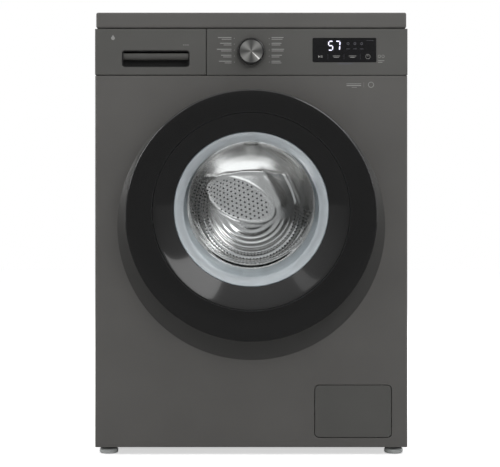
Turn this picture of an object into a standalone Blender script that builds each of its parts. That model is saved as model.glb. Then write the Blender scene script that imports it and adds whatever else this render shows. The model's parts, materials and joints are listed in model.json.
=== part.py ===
"""Front-load washing machine, built from its separate pieces.

Metres, +Z up. The origin is on the floor under the middle of the whole machine, the front faces -Y and
+X is to the right of a person who stands in front of it. Distances called "depth" run back from the
front panel's face.
"""

import math

import bmesh
import bpy
from mathutils import Matrix, Vector

# ---- overall sizes ----
CABINET_WIDTH = 0.600
CABINET_DEPTH = 0.550  # front panel's face to rear panel's face
HEIGHT = 0.850
FOOT_HEIGHT = 0.015  # floor to the cabinet's underside
WORKTOP_HEIGHT = 0.030
FASCIA_HEIGHT = 0.090
DOOR_REACH = 0.050  # door's face in front of the front panel's face
REAR_REACH = 0.012  # fittings behind the rear panel's face

# ---- fits and stock ----
GAP = 0.0003  # between pieces that touch
SEAM = 0.0015  # visible joint between outer panels
SHEET = 0.001  # steel sheet
MOULDED_WALL = 0.0025  # wall of a plastic moulding
RUNNING = 0.0006  # clearance round a piece that slides or turns

# ---- outer panels ----
PANEL_RETURN = 0.015  # how far the front panel and the fascia wrap round the sides
PANEL_CORNER = 0.004
SIDE_RETURN = 0.012
BASE_HEIGHT = 0.016
BASE_FLOOR = 0.003
BASE_WALL = 0.008
FOOT_BLOCK = 0.055
REAR_OPENING_RADIUS = 0.170
REAR_COVER_LAP = 0.018
REAR_COVER_DISH = 0.009
WORKTOP_INSET = 0.002
WORKTOP_BOARD = 0.016
WORKTOP_RIM = 0.015
BRACE_DEPTH = 0.285
BRACE_WIDTH = 0.040
BRACE_HEIGHT = 0.018
BRACE_WALL = 0.0015

# ---- feet ----
FOOT_INSET = 0.024  # cabinet's side to the foot's middle
FOOT_SETBACK = 0.030
FOOT_RADIUS = 0.018
FOOT_PAD = 0.008
FOOT_STEM_RADIUS = 0.005
FOOT_STEM_LENGTH = 0.034

# ---- door ----
DOOR_TOP_MARGIN = 0.0316  # fascia's lower edge to the top of the door
DISC_RADIUS = 0.2384
CONE_WIDTH = 0.0397  # window to the inner edge of the flat outer band
CONE_RISE = 0.008  # the inner edge of the band sits this much above the disc's middle
WINDOW_RISE = 0.012  # so does the window
WINDOW_RADIUS = 0.1473
CONE_DEPTH = 0.021  # door's face to the window's edge
DOOR_WALL = 0.003
DOOR_SIDE = 0.026  # depth of the door's side wall
GLASS_WALL = 0.005
GLASS_LENGTH = 0.1275
GLASS_FLANGE = 0.006
FRAME_LAP = 0.0184
SURROUND_HEIGHT = 0.018
SURROUND_REACH = 0.0186  # its outer circle beyond the disc's
SURROUND_DROP = 0.020  # its outer circle sits this much below the disc's middle
SURROUND_LAP = 0.0384  # how far it reaches in behind the disc
DOOR_ANGLE_NOTCH = 0.034  # half height of the room left for the hinge

# ---- hinge and catch ----
HINGE_INSET = 0.0124  # door's left edge to the hinge axis
HINGE_FORWARD = 0.038  # hinge axis in front of the panel
HINGE_HALF_HEIGHT = 0.028
KNUCKLE_RADIUS = 0.005
KNUCKLE_HALF_HEIGHT = 0.015
PIN_RADIUS = 0.0025
CATCH_INSET = 0.0564  # disc's edge to the catch
CATCH_HALF_HEIGHT = 0.006

# ---- drum and tub ----
PORTHOLE_RADIUS = 0.163
TUB_SIDE_ROOM = 0.035
DRUM_SETBACK = 0.070  # panel's face to the drum's mouth
MOTOR_ROOM = 0.150  # drum's back to the rear panel's face
DRUM_GAP = 0.021  # drum to tub
DRUM_WALL = 0.001
DRUM_CORNER = 0.007  # where its side turns into its back
DRUM_MOUTH_RADIUS = 0.155
DRUM_RADIUS_LIMIT = 0.2405
TUB_WALL = 0.003
TUB_SPLIT = 0.240
TUB_FLANGE = 0.009
NECK_RADIUS = 0.165
LIFTER_HEIGHT = 0.055
LIFTER_WIDTH = 0.060
LIFTERS = 3
SHAFT_RADIUS = 0.0149
REAR_SHAFT_RADIUS = 0.0124
FRONT_BEARING_RADIUS = 0.031
REAR_BEARING_RADIUS = 0.026
ROTOR_RADIUS = 0.128
HEATER_ROD = 0.004
HEATER_HALF = 0.040  # half the distance between its legs
SPRING_INSET = 0.0328  # tub's outside to the springs
SPRING_RADIUS = 0.012
DAMPER_X = 0.150
DAMPER_DEPTH = 0.300
DAMPER_ROD_RADIUS = 0.005
DAMPER_TUBE_RADIUS = 0.013
TUB_TRAVEL_ROOM = 0.0065  # under the dispenser and the control board
TOP_WEIGHT_ROOM = 0.0255  # between the dispenser and the top counterweight

# ---- control panel and dispenser ----
DRAWER_WIDTH = 0.213
DRAWER_SEAM = 0.0015
HANDLE_WIDTH = 0.130
HANDLE_HEIGHT = 0.032
HANDLE_DEPTH = 0.028
HANDLE_RISE = 0.031  # fascia's lower edge to the recess's middle
HANDLE_OFFSET = 0.1165  # cabinet's left side to the recess's middle
TRAY_LENGTH = 0.220
KNOB_RISE = 0.044
KNOB_RADIUS = 0.0257
KNOB_HEIGHT = 0.016
KNOB_SHAFT_RADIUS = 0.004
KNOB_DISH = 0.0012
DISPLAY_WIDTH = 0.123
DISPLAY_HEIGHT = 0.047
DISPLAY_MARGIN = 0.0595  # cabinet's right side to the window
DISPLAY_RISE = 0.0475
DISPLAY_WALL = 0.002
BOARD_MARGIN = 2 * MOULDED_WALL + 0.002  # fascia's edges to the board behind it

# ---- service flap and pump ----
FLAP_WIDTH = 0.149
FLAP_HEIGHT = 0.102
FLAP_MARGIN = 0.030  # cabinet's right side to the opening
FLAP_BOTTOM = 0.033
FLAP_REVEAL = 0.0012
FLAP_WALL = 0.003
FLAP_CORNER = 0.009
PUMP_X_MARGIN = 0.105
PUMP_Z = 0.085
PUMP_BARREL_RADIUS = 0.036
PUMP_BORE = 0.031
HOSE_RADIUS = 0.016
DRAIN_RADIUS = 0.011

# ---- facets ----
ROUND = 36
SMALL_ROUND = 20
TINY_ROUND = 12

# ---- places that follow from the sizes ----
HALF_WIDTH = CABINET_WIDTH / 2
FRONT_Y = DOOR_REACH - (DOOR_REACH + CABINET_DEPTH + REAR_REACH) / 2
REAR_Y = FRONT_Y + CABINET_DEPTH
INNER_HALF = HALF_WIDTH - SHEET - GAP
BASE_TOP = FOOT_HEIGHT + BASE_HEIGHT
WORKTOP_Z = HEIGHT - WORKTOP_HEIGHT
FASCIA_Z = WORKTOP_Z - FASCIA_HEIGHT
FASCIA_TOP = WORKTOP_Z - SEAM
DISC_Z = FASCIA_Z - DOOR_TOP_MARGIN - DISC_RADIUS
CONE_Z = DISC_Z + CONE_RISE
AXIS_Z = DISC_Z + WINDOW_RISE
RING_WIDTH = DISC_RADIUS - WINDOW_RADIUS - CONE_WIDTH
CONE_RADIUS = DISC_RADIUS - RING_WIDTH - 2 * GAP
SURROUND_RADIUS = DISC_RADIUS + SURROUND_REACH
SURROUND_HOLE = DISC_RADIUS - SURROUND_LAP
CATCH_X = DISC_RADIUS - CATCH_INSET
DRUM_BACK = CABINET_DEPTH - MOTOR_ROOM
HOUSING_Z = FASCIA_Z + 0.0065
HOUSING_RIGHT = DRAWER_WIDTH - HALF_WIDTH - 0.0085
TUB_SIDE_LIMIT = HALF_WIDTH - TUB_SIDE_ROOM + GAP
TUB_TOP_LIMIT = math.hypot(HOUSING_Z - TUB_TRAVEL_ROOM - AXIS_Z, HOUSING_RIGHT) - TUB_FLANGE
TUB_LIMIT = min(TUB_SIDE_LIMIT, TUB_TOP_LIMIT)
DRUM_OUTER = min(DRUM_RADIUS_LIMIT, TUB_LIMIT - TUB_WALL - DRUM_GAP - GAP)
TUB_INNER = DRUM_OUTER + DRUM_GAP + GAP
TUB_OUTER = TUB_INNER + TUB_WALL
SPRING_X = TUB_OUTER - SPRING_INSET
TUB_BACK = DRUM_BACK + 0.024
HEATER_Z = AXIS_Z - DRUM_OUTER - DRUM_GAP / 2
HINGE_X = HINGE_INSET - DISC_RADIUS
DRAWER_RIGHT = DRAWER_WIDTH - HALF_WIDTH
PUMP_X = HALF_WIDTH - PUMP_X_MARGIN
PUMP_BACK = 0.165
FLAP_RIGHT = HALF_WIDTH - FLAP_MARGIN
FLAP_LEFT = FLAP_RIGHT - FLAP_WIDTH
FLAP_TOP = FLAP_BOTTOM + FLAP_HEIGHT
FLAP_AXIS_DEPTH = 0.0045
FLAP_AXIS_Z = FLAP_BOTTOM + FLAP_CORNER + FLAP_AXIS_DEPTH
BRACE_Z = FASCIA_TOP - BRACE_HEIGHT
BOARD_Z = FASCIA_Z + BOARD_MARGIN
KNOB_Z = FASCIA_Z + KNOB_RISE

# colour (linear), roughness, metallic
FINISHES = {
    "painted steel": ((0.082, 0.081, 0.078), 0.45, 0.2),
    "grey moulding": ((0.078, 0.077, 0.074), 0.5, 0.0),
    "dark moulding": ((0.03, 0.03, 0.03), 0.5, 0.0),
    "black gloss": ((0.012, 0.012, 0.012), 0.08, 0.0),
    "pale moulding": ((0.62, 0.64, 0.64), 0.5, 0.0),
    "tub plastic": ((0.45, 0.46, 0.47), 0.6, 0.0),
    "rubber": ((0.18, 0.18, 0.18), 0.8, 0.0),
    "glass": ((0.85, 0.9, 0.92), 0.03, 0.0),
    "stainless steel": ((0.62, 0.62, 0.62), 0.28, 1.0),
    "zinc steel": ((0.5, 0.5, 0.5), 0.4, 1.0),
    "cast aluminium": ((0.5, 0.5, 0.51), 0.5, 1.0),
    "concrete": ((0.35, 0.34, 0.32), 0.95, 0.0),
    "circuit board": ((0.02, 0.12, 0.05), 0.5, 0.0),
}


def clear_scene():
    for old in list(bpy.data.objects):
        bpy.data.objects.remove(old, do_unlink=True)


def deep(distance):
    """World Y of a distance behind the front panel's face."""
    return FRONT_Y + distance


def finish(name, kind):
    colour, roughness, metallic = FINISHES[kind]
    material = bpy.data.materials.new(name)
    material.use_nodes = True
    shader = material.node_tree.nodes["Principled BSDF"]
    shader.inputs["Base Color"].default_value = (*colour, 1)
    shader.inputs["Roughness"].default_value = roughness
    shader.inputs["Metallic"].default_value = metallic
    return material


# ---- shapes ----
def box(low, high):
    low, high = Vector(low), Vector(high)
    size = high - low
    shape = bmesh.new()
    bmesh.ops.create_cube(shape, size=1)
    bmesh.ops.scale(shape, vec=size, verts=shape.verts)
    bmesh.ops.translate(shape, vec=(low + high) / 2, verts=shape.verts)
    return shape


def lathe(profile, centre, axis="Y", segments=ROUND, ring=False, start=0.5):
    """A turned solid. Each profile point is (along the axis, radius) with an optional rise of its circle.

    A ring's profile closes on itself; any other has its two ends capped.
    """
    shape = bmesh.new()
    loops = []
    for along, radius, *rise in profile:
        lift = rise[0] if rise else 0.0
        turns = range(segments if radius > 0 else 1)
        angles = [2 * math.pi * (turn + start) / segments for turn in turns]
        places = [(radius * math.cos(a), lift + radius * math.sin(a)) for a in angles]
        loops.append([shape.verts.new(on_axis(axis, centre, along, u, v)) for u, v in places])
    pairs = list(zip(loops, loops[1:]))
    if ring:
        pairs.append((loops[-1], loops[0]))
    for near, far in pairs:
        stitch(shape, near, far)
    if not ring:
        for loop in (loops[0], loops[-1]):
            if len(loop) > 1:
                shape.faces.new(loop)
    bmesh.ops.recalc_face_normals(shape, faces=shape.faces)
    return shape


def on_axis(axis, centre, along, u, v):
    if axis == "X":
        return Vector((along, centre[0] + u, centre[1] + v))
    if axis == "Y":
        return Vector((centre[0] + u, along, centre[1] + v))
    return Vector((centre[0] + u, centre[1] + v, along))


def stitch(shape, near, far):
    count = max(len(near), len(far))
    if count == 1:
        return
    for i in range(count):
        j = (i + 1) % count
        corners = [near[i % len(near)], near[j % len(near)], far[j % len(far)], far[i % len(far)]]
        unique = list(dict.fromkeys(corners))
        shape.faces.new(unique)


def prism(outline, axis, low, high):
    """An outline extruded along an axis: X takes (y, z) points, Y takes (x, z) and Z takes (x, y)."""
    shape = bmesh.new()
    place = {
        "X": lambda a, b: (low, a, b),
        "Y": lambda a, b: (a, low, b),
        "Z": lambda a, b: (a, b, low),
    }[axis]
    face = shape.faces.new([shape.verts.new(place(a, b)) for a, b in outline])
    made = bmesh.ops.extrude_face_region(shape, geom=[face])
    moved = [item for item in made["geom"] if isinstance(item, bmesh.types.BMVert)]
    along = {"X": (1, 0, 0), "Y": (0, 1, 0), "Z": (0, 0, 1)}[axis]
    bmesh.ops.translate(shape, vec=Vector(along) * (high - low), verts=moved)
    bmesh.ops.recalc_face_normals(shape, faces=shape.faces)
    return shape


def arc(centre, radius, first, last, steps):
    """Points on a circle from one angle to another, in degrees."""
    angles = [math.radians(first + (last - first) * i / steps) for i in range(steps + 1)]
    return [(centre[0] + radius * math.cos(a), centre[1] + radius * math.sin(a)) for a in angles]


def rounded_rectangle(low, high, radius, steps=4):
    corners = [
        (high[0] - radius, high[1] - radius, 0),
        (low[0] + radius, high[1] - radius, 90),
        (low[0] + radius, low[1] + radius, 180),
        (high[0] - radius, low[1] + radius, 270),
    ]
    return [point for x, z, turn in corners for point in arc((x, z), radius, turn, turn + 90, steps)]


def shell(path, wall):
    """The closed outline of a wall along a path, the wall lying to the right of the direction of travel."""
    normals = []
    for (a0, r0), (a1, r1) in zip(path, path[1:]):
        length = math.hypot(a1 - a0, r1 - r0)
        normals.append(((r1 - r0) / length, (a0 - a1) / length))
    inner = []
    for i, (a, r) in enumerate(path):
        before, after = normals[max(i - 1, 0)], normals[min(i, len(normals) - 1)]
        share = wall / (1 + before[0] * after[0] + before[1] * after[1])
        inner.append((a + share * (before[0] + after[0]), max(r + share * (before[1] + after[1]), 0)))
    return list(path) + inner[::-1]


def deepened(profile):
    """The same profile with its distances behind the front panel's face made world Y."""
    return [(deep(point[0]), *point[1:]) for point in profile]


# ---- objects ----
def body(name, origin=(0, 0, 0), parent=None):
    """An empty on the body's joint axis, which its pieces hang from."""
    empty = bpy.data.objects.new(name, None)
    bpy.context.collection.objects.link(empty)
    empty.parent = parent
    empty.location = Vector(origin) - (Vector(parent["place"]) if parent else Vector())
    empty["place"] = tuple(origin)
    return empty


def make_object(name, shape, parent):
    bmesh.ops.translate(shape, vec=-Vector(parent["place"]), verts=shape.verts)
    mesh = bpy.data.meshes.new(name)
    shape.to_mesh(mesh)
    shape.free()
    mesh.shade_smooth()
    mesh.set_sharp_from_angle(angle=math.radians(35))
    made = bpy.data.objects.new(name, mesh)
    bpy.context.collection.objects.link(made)
    made.parent = parent
    return made


def add(name, shape, kind, parent):
    made = make_object(name, shape, parent)
    made.data.materials.append(finish(name, kind))
    return made


def combine(target, shape, operation):
    helper = make_object(f"{target.name} {operation.lower()}", shape, target.parent)
    helper.hide_render = True
    helper.display_type = "WIRE"
    change = target.modifiers.new(helper.name, "BOOLEAN")
    change.operation = operation
    change.object = helper


def cut(target, *shapes):
    for shape in shapes:
        combine(target, shape, "DIFFERENCE")


def join(target, *shapes):
    for shape in shapes:
        combine(target, shape, "UNION")


# ---- cabinet ----
def foot_places():
    """(name, x, y) of each foot."""
    x, front, rear = HALF_WIDTH - FOOT_INSET, deep(FOOT_SETBACK), REAR_Y - FOOT_SETBACK
    return [
        ("front_left", -x, front),
        ("front_right", x, front),
        ("rear_left", -x, rear),
        ("rear_right", x, rear),
    ]


def build_base_frame(cabinet):
    front, rear = deep(PANEL_CORNER + GAP), REAR_Y - SHEET - GAP
    floor, over = FOOT_HEIGHT + BASE_FLOOR, BASE_TOP + BASE_WALL
    base = add(
        "base_frame",
        box((-INNER_HALF, front, FOOT_HEIGHT), (INNER_HALF, rear, BASE_TOP)),
        "dark moulding",
        cabinet,
    )
    wide, narrow = INNER_HALF - BASE_WALL, INNER_HALF - FOOT_BLOCK
    cut(
        base,
        box((-wide, front + FOOT_BLOCK, floor), (wide, rear - FOOT_BLOCK, over)),
        box((-narrow, front + BASE_WALL, floor), (narrow, rear - BASE_WALL, over)),
    )
    hole = FOOT_STEM_RADIUS + RUNNING
    for _, x, y in foot_places():
        ends = [(FOOT_HEIGHT - BASE_WALL, hole), (over, hole)]
        cut(base, lathe(ends, (x, y), "Z", TINY_ROUND))


def channel_outline(half_width, front, back, corner, wall):
    """Plan of a sheet that runs across the front and wraps both sides."""
    inner = max(corner - wall, wall / 4)
    outside = arc((-half_width + corner, front + corner), corner, 180, 270, 3)
    outside += arc((half_width - corner, front + corner), corner, 270, 360, 3)
    x, y = half_width - wall - inner, front + wall + inner
    inside = arc((x, y), inner, 360, 270, 3) + arc((-x, y), inner, 270, 180, 3)
    back_right = [(half_width, back), (half_width - wall, back)]
    back_left = [(wall - half_width, back), (-half_width, back)]
    return outside + back_right + inside + back_left


def flap_outline(shrink):
    low = (FLAP_LEFT + shrink, FLAP_BOTTOM + shrink)
    high = (FLAP_RIGHT - shrink, FLAP_TOP - shrink)
    return rounded_rectangle(low, high, FLAP_CORNER - shrink)


def catch_slot(front, back):
    """Room for the door's catch, from one depth to another."""
    reach = CATCH_HALF_HEIGHT + 0.005
    low = (CATCH_X - 0.007, deep(front), AXIS_Z - reach)
    high = (CATCH_X + 0.0115, deep(back), AXIS_Z + reach)
    return box(low, high)


def build_front_panel(cabinet):
    outline = channel_outline(HALF_WIDTH, FRONT_Y, deep(PANEL_RETURN), PANEL_CORNER, SHEET)
    shape = prism(outline, "Z", FOOT_HEIGHT, FASCIA_Z - SEAM)
    panel = add("front_panel", shape, "painted steel", cabinet)
    through = deepened([(-0.01, PORTHOLE_RADIUS), (0.01, PORTHOLE_RADIUS)])
    cut(
        panel,
        lathe(through, (0, AXIS_Z)),
        prism(flap_outline(0), "Y", deep(-0.01), deep(0.01)),
        catch_slot(-0.01, 0.01),
    )


def build_side_panel(cabinet, name, side):
    front, top = deep(PANEL_RETURN + SEAM), FASCIA_TOP
    outer, inner = side * HALF_WIDTH, side * (HALF_WIDTH - SHEET)
    lap, lip = side * (HALF_WIDTH - SHEET / 2), side * (HALF_WIDTH - SIDE_RETURN)
    low, high = min(outer, inner), max(outer, inner)
    shape = box((low, front, FOOT_HEIGHT), (high, REAR_Y, top))
    panel = add(name, shape, "painted steel", cabinet)
    low, high = min(lap, lip), max(lap, lip)
    back = REAR_Y - 2 * SHEET - 2 * GAP
    for start in (front + GAP, back):
        join(panel, box((low, start, BASE_TOP + GAP), (high, start + SHEET, top - GAP)))


def valve_place():
    return (HALF_WIDTH - 0.10, WORKTOP_Z - 0.035)


def gland_place():
    return (0.08 - HALF_WIDTH, FOOT_HEIGHT + 0.085)


def drain_exit():
    return (HALF_WIDTH - 0.038, PUMP_Z + 0.065)


def build_rear_panel(cabinet):
    low = (-INNER_HALF, REAR_Y - SHEET, FOOT_HEIGHT)
    high = (INNER_HALF, REAR_Y, FASCIA_TOP)
    panel = add("rear_panel", box(low, high), "painted steel", cabinet)
    holes = [
        ((0, AXIS_Z), REAR_OPENING_RADIUS, ROUND),
        (valve_place(), 0.0137, SMALL_ROUND),
        (gland_place(), 0.0085, TINY_ROUND),
        (drain_exit(), DRAIN_RADIUS + RUNNING, TINY_ROUND),
    ]
    for place, radius, segments in holes:
        ends = [(REAR_Y - 0.01, radius), (REAR_Y + 0.01, radius)]
        cut(panel, lathe(ends, place, segments=segments))


def build_rear_cover(cabinet):
    face = REAR_Y + GAP
    rim = REAR_OPENING_RADIUS + REAR_COVER_LAP
    dish = REAR_OPENING_RADIUS - 0.030
    path = [
        (face + SHEET + REAR_COVER_DISH, 0),
        (face + SHEET + REAR_COVER_DISH, dish),
        (face + SHEET, dish + 0.012),
        (face + SHEET, rim),
    ]
    shape = lathe(shell(path, -SHEET), (0, AXIS_Z), ring=True)
    add("rear_access_cover", shape, "zinc steel", cabinet)


def build_worktop(cabinet):
    half = HALF_WIDTH - WORKTOP_INSET
    shape = box((-half, FRONT_Y, WORKTOP_Z), (half, REAR_Y, HEIGHT))
    top = add("worktop", shape, "grey moulding", cabinet)
    inside = half - WORKTOP_RIM
    low = (-inside, deep(WORKTOP_RIM), WORKTOP_Z - 0.01)
    high = (inside, REAR_Y - WORKTOP_RIM, HEIGHT - WORKTOP_BOARD)
    cut(top, box(low, high))


def build_top_brace(cabinet):
    start, end = deep(BRACE_DEPTH), deep(BRACE_DEPTH + BRACE_WIDTH)
    shape = box((-INNER_HALF, start, BRACE_Z), (INNER_HALF, end, FASCIA_TOP))
    brace = add("top_brace", shape, "zinc steel", cabinet)
    low = (-INNER_HALF - 0.01, start + BRACE_WALL, BRACE_Z + BRACE_WALL)
    high = (INNER_HALF + 0.01, end - BRACE_WALL, FASCIA_TOP + 0.01)
    cut(brace, box(low, high))


def build_inlet_valve(cabinet):
    x, z = valve_place()
    spout = [(REAR_Y - 0.030, 0.0132), (REAR_Y + REAR_REACH, 0.0132)]
    valve = add("inlet_valve", lathe(spout, (x, z), segments=SMALL_ROUND), "pale moulding", cabinet)
    join(valve, box((x - 0.02, REAR_Y - 0.075, z - 0.02), (x + 0.02, REAR_Y - 0.025, z + 0.02)))
    bore = [(REAR_Y - 0.01, 0.009), (REAR_Y + REAR_REACH + 0.01, 0.009)]
    cut(valve, lathe(bore, (x, z), segments=SMALL_ROUND))


def build_mains_gland(cabinet):
    start, end = REAR_Y - SHEET, REAR_Y + 0.010
    profile = [
        (start - 0.008, 0.011),
        (start - GAP, 0.011),
        (start - GAP, 0.0080),
        (REAR_Y + GAP, 0.0080),
        (REAR_Y + GAP, 0.0125),
        (end, 0.0095),
        (end, 0.0036),
        (start - 0.008, 0.0036),
    ]
    add("mains_gland", lathe(profile, gland_place(), segments=TINY_ROUND, ring=True), "dark moulding", cabinet)


# ---- control panel ----
def display_box():
    x = HALF_WIDTH - DISPLAY_MARGIN
    z = FASCIA_Z + DISPLAY_RISE
    return (x - DISPLAY_WIDTH, z - DISPLAY_HEIGHT / 2), (x, z + DISPLAY_HEIGHT / 2)


def build_control_panel(cabinet):
    left = DRAWER_RIGHT + DRAWER_SEAM
    low, high = (left, FRONT_Y, FASCIA_Z), (HALF_WIDTH, deep(PANEL_RETURN), FASCIA_TOP)
    panel = add("control_panel", box(low, high), "grey moulding", cabinet)
    wall = MOULDED_WALL
    inner_low = (left + wall, deep(wall), FASCIA_Z + wall)
    inner_high = (HALF_WIDTH - wall, deep(PANEL_RETURN + 0.01), FASCIA_TOP - wall)
    hole = KNOB_SHAFT_RADIUS + RUNNING
    dish = KNOB_RADIUS + 0.002
    cut(
        panel,
        box(inner_low, inner_high),
        prism(rounded_rectangle(*display_box(), 0.003), "Y", deep(-0.01), deep(0.01)),
        lathe(deepened([(-0.01, hole), (0.01, hole)]), (0, KNOB_Z), segments=TINY_ROUND),
        lathe(deepened([(-0.01, dish), (KNOB_DISH, dish)]), (0, KNOB_Z), segments=SMALL_ROUND),
    )


def build_display(cabinet):
    (x0, z0), (x1, z1) = display_box()
    outline = rounded_rectangle((x0 + GAP, z0 + GAP), (x1 - GAP, z1 - GAP), 0.003 - GAP)
    shape = prism(outline, "Y", FRONT_Y, deep(DISPLAY_WALL))
    add("display_window", shape, "black gloss", cabinet)
    low = (min(-0.035, x0 - 0.1), deep(0.0085), BOARD_Z)
    high = (x1 + 0.02, deep(0.030), FASCIA_TOP - BOARD_MARGIN)
    board = add("control_board", box(low, high), "circuit board", cabinet)
    hole = KNOB_SHAFT_RADIUS + RUNNING
    cut(board, lathe(deepened([(0, hole), (0.05, hole)]), (0, KNOB_Z), segments=TINY_ROUND))


def build_knob(knob):
    profile = [
        (-KNOB_HEIGHT, KNOB_RADIUS - 0.0020),
        (-KNOB_HEIGHT + 0.0010, KNOB_RADIUS - 0.0004),
        (-KNOB_HEIGHT + 0.0030, KNOB_RADIUS),
        (-GAP * 5, KNOB_RADIUS),
        (-GAP * 5, KNOB_SHAFT_RADIUS),
        (0.020, KNOB_SHAFT_RADIUS),
    ]
    add("knob", lathe(deepened(profile), (0, KNOB_Z), segments=SMALL_ROUND * 2), "dark moulding", knob)


# ---- dispenser ----
def housing_box():
    """Lowest and highest corners of the dispenser's housing."""
    low = (-HALF_WIDTH + SIDE_RETURN + 0.0025, deep(PANEL_RETURN + 0.0035), HOUSING_Z)
    high = (HOUSING_RIGHT, deep(TRAY_LENGTH + 0.055), FASCIA_TOP - 0.0035)
    return low, high


def outlet_place():
    """(x, y) of the pipe from the dispenser down to the tub."""
    low, high = housing_box()
    return ((low[0] + high[0]) / 2 + 0.0405, deep(TUB_SPLIT - 0.040))


def tub_height(x, radius):
    """How far a circle round the drum's axis stands above or below it at x."""
    return math.sqrt(radius * radius - x * x)


def build_dispenser(cabinet):
    low, high = housing_box()
    housing = add("dispenser_housing", box(low, high), "pale moulding", cabinet)
    wall = MOULDED_WALL
    inner_low = (low[0] + wall, low[1] - 0.01, low[2] + wall)
    inner_high = (high[0] - wall, high[1] - wall, high[2] - wall)
    x, y = outlet_place()
    spigot = [(low[2] - 0.0145, 0.018), (low[2] + wall / 2, 0.018)]
    bore = [(low[2] - 0.02, 0.014), (low[2] + 2 * wall, 0.014)]
    join(housing, lathe(spigot, (x, y), "Z", SMALL_ROUND))
    cut(housing, box(inner_low, inner_high), lathe(bore, (x, y), "Z", SMALL_ROUND))


def handle_box(grow, front, back):
    x, z = HANDLE_OFFSET - HALF_WIDTH, FASCIA_Z + HANDLE_RISE
    half_x, half_z = HANDLE_WIDTH / 2 + grow, HANDLE_HEIGHT / 2 + grow
    outline = rounded_rectangle((x - half_x, z - half_z), (x + half_x, z + half_z), 0.0055 + grow, 3)
    return prism(outline, "Y", deep(front), deep(back))


def build_drawer(drawer):
    low, high = (-HALF_WIDTH, FRONT_Y, FASCIA_Z), (DRAWER_RIGHT, deep(PANEL_RETURN), FASCIA_TOP)
    front = add("drawer_front", box(low, high), "grey moulding", drawer)
    wall = MOULDED_WALL
    inner_low = (low[0] + wall, deep(wall), low[2] + wall)
    inner_high = (high[0] - wall, high[1] + 0.01, high[2] - wall)
    pocket_back = HANDLE_DEPTH + MOULDED_WALL
    cut(front, box(inner_low, inner_high))
    join(front, handle_box(MOULDED_WALL, wall / 2, pocket_back))
    cut(front, handle_box(0, -0.01, HANDLE_DEPTH))

    housing_low, housing_high = housing_box()
    clear = MOULDED_WALL + 0.0020
    x0, x1 = housing_low[0] + clear, housing_high[0] - clear
    z0, z1 = housing_low[2] + clear, housing_low[2] + 0.062
    y0, y1 = deep(pocket_back + GAP), deep(pocket_back + GAP + TRAY_LENGTH)
    tray = add("drawer_tray", box((x0, y0, z0), (x1, y1, z1)), "pale moulding", drawer)
    rib = 0.002
    cell = (x1 - x0 - 4 * rib) / 3
    for column in range(3):
        left = x0 + rib + column * (cell + rib)
        cut(tray, box((left, y0 + rib, z0 + rib), (left + cell, y1 - rib, z1 + 0.01)))
    middle = x0 + rib + cell + rib + cell / 2
    cap = [(z0 + rib + GAP, 0.016), (z0 + 0.030, 0.016), (z0 + 0.034, 0.012), (z0 + 0.048, 0.012)]
    shape = lathe(cap, (middle, y1 - rib - 0.022), "Z", SMALL_ROUND)
    add("softener_cap", shape, "pale moulding", drawer)


# ---- service flap, pump and hoses ----
def build_flap(flap):
    shape = prism(flap_outline(FLAP_REVEAL), "Y", FRONT_Y, deep(FLAP_WALL))
    cover = add("service_flap", shape, "grey moulding", flap)
    middle, reach = (FLAP_LEFT + FLAP_RIGHT) / 2, 0.055
    barrel = [(middle - reach, 0.0025), (middle + reach, 0.0025)]
    join(cover, lathe(barrel, (deep(FLAP_AXIS_DEPTH), FLAP_AXIS_Z), "X", TINY_ROUND))


def build_pump(cabinet):
    profile = [
        (0.020, PUMP_BORE),
        (0.098, PUMP_BORE),
        (0.098, 0),
        (PUMP_BACK, 0),
        (PUMP_BACK, 0.030),
        (0.105, 0.030),
        (0.105, PUMP_BARREL_RADIUS),
        (0.020, PUMP_BARREL_RADIUS),
    ]
    shape = lathe(deepened(profile), (PUMP_X, PUMP_Z), segments=SMALL_ROUND, ring=True)
    pump = add("drain_pump", shape, "dark moulding", cabinet)
    inlet = PUMP_X - PUMP_BARREL_RADIUS
    join(pump, lathe([(inlet - 0.020, HOSE_RADIUS), (inlet + 0.003, HOSE_RADIUS)],
                     (deep(0.055), PUMP_Z), "X", TINY_ROUND))
    top = PUMP_Z + PUMP_BARREL_RADIUS
    join(pump, lathe([(top - 0.003, DRAIN_RADIUS), (top + 0.010, DRAIN_RADIUS)],
                     (PUMP_X, deep(0.088)), "Z", TINY_ROUND))
    cut(pump, lathe([(inlet - 0.03, 0.012), (inlet + 0.01, 0.012)], (deep(0.055), PUMP_Z), "X", TINY_ROUND))


def build_pump_filter(pump_filter):
    front, flange = 0.014, 0.0195
    profile = [
        (front, 0),
        (front, 0.034),
        (flange, 0.034),
        (flange, PUMP_BORE - RUNNING),
        (0.034, PUMP_BORE - RUNNING),
        (0.034, 0.025),
        (0.080, 0.025),
        (0.080, 0.022),
        (0.030, 0.022),
        (0.030, 0),
    ]
    shape = lathe(deepened(profile), (PUMP_X, PUMP_Z), segments=SMALL_ROUND, ring=True)
    plug = add("pump_filter", shape, "pale moulding", pump_filter)
    low = (PUMP_X - 0.024, deep(0.0085), PUMP_Z - 0.004)
    join(plug, box(low, (PUMP_X + 0.024, deep(front + 0.002), PUMP_Z + 0.004)))


def build_impeller(impeller):
    """A four-bladed wheel, as one plus-shaped outline."""
    thin, long = 0.0020, 0.019
    quarter = [(long, -thin), (long, thin), (thin, thin)]
    outline = []
    for turn in range(4):
        c, s = round(math.cos(turn * math.pi / 2)), round(math.sin(turn * math.pi / 2))
        outline += [(PUMP_X + c * u - s * v, PUMP_Z + s * u + c * v) for u, v in quarter]
    add("pump_impeller", prism(outline, "Y", deep(0.084), deep(0.0965)), "pale moulding", impeller)


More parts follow.
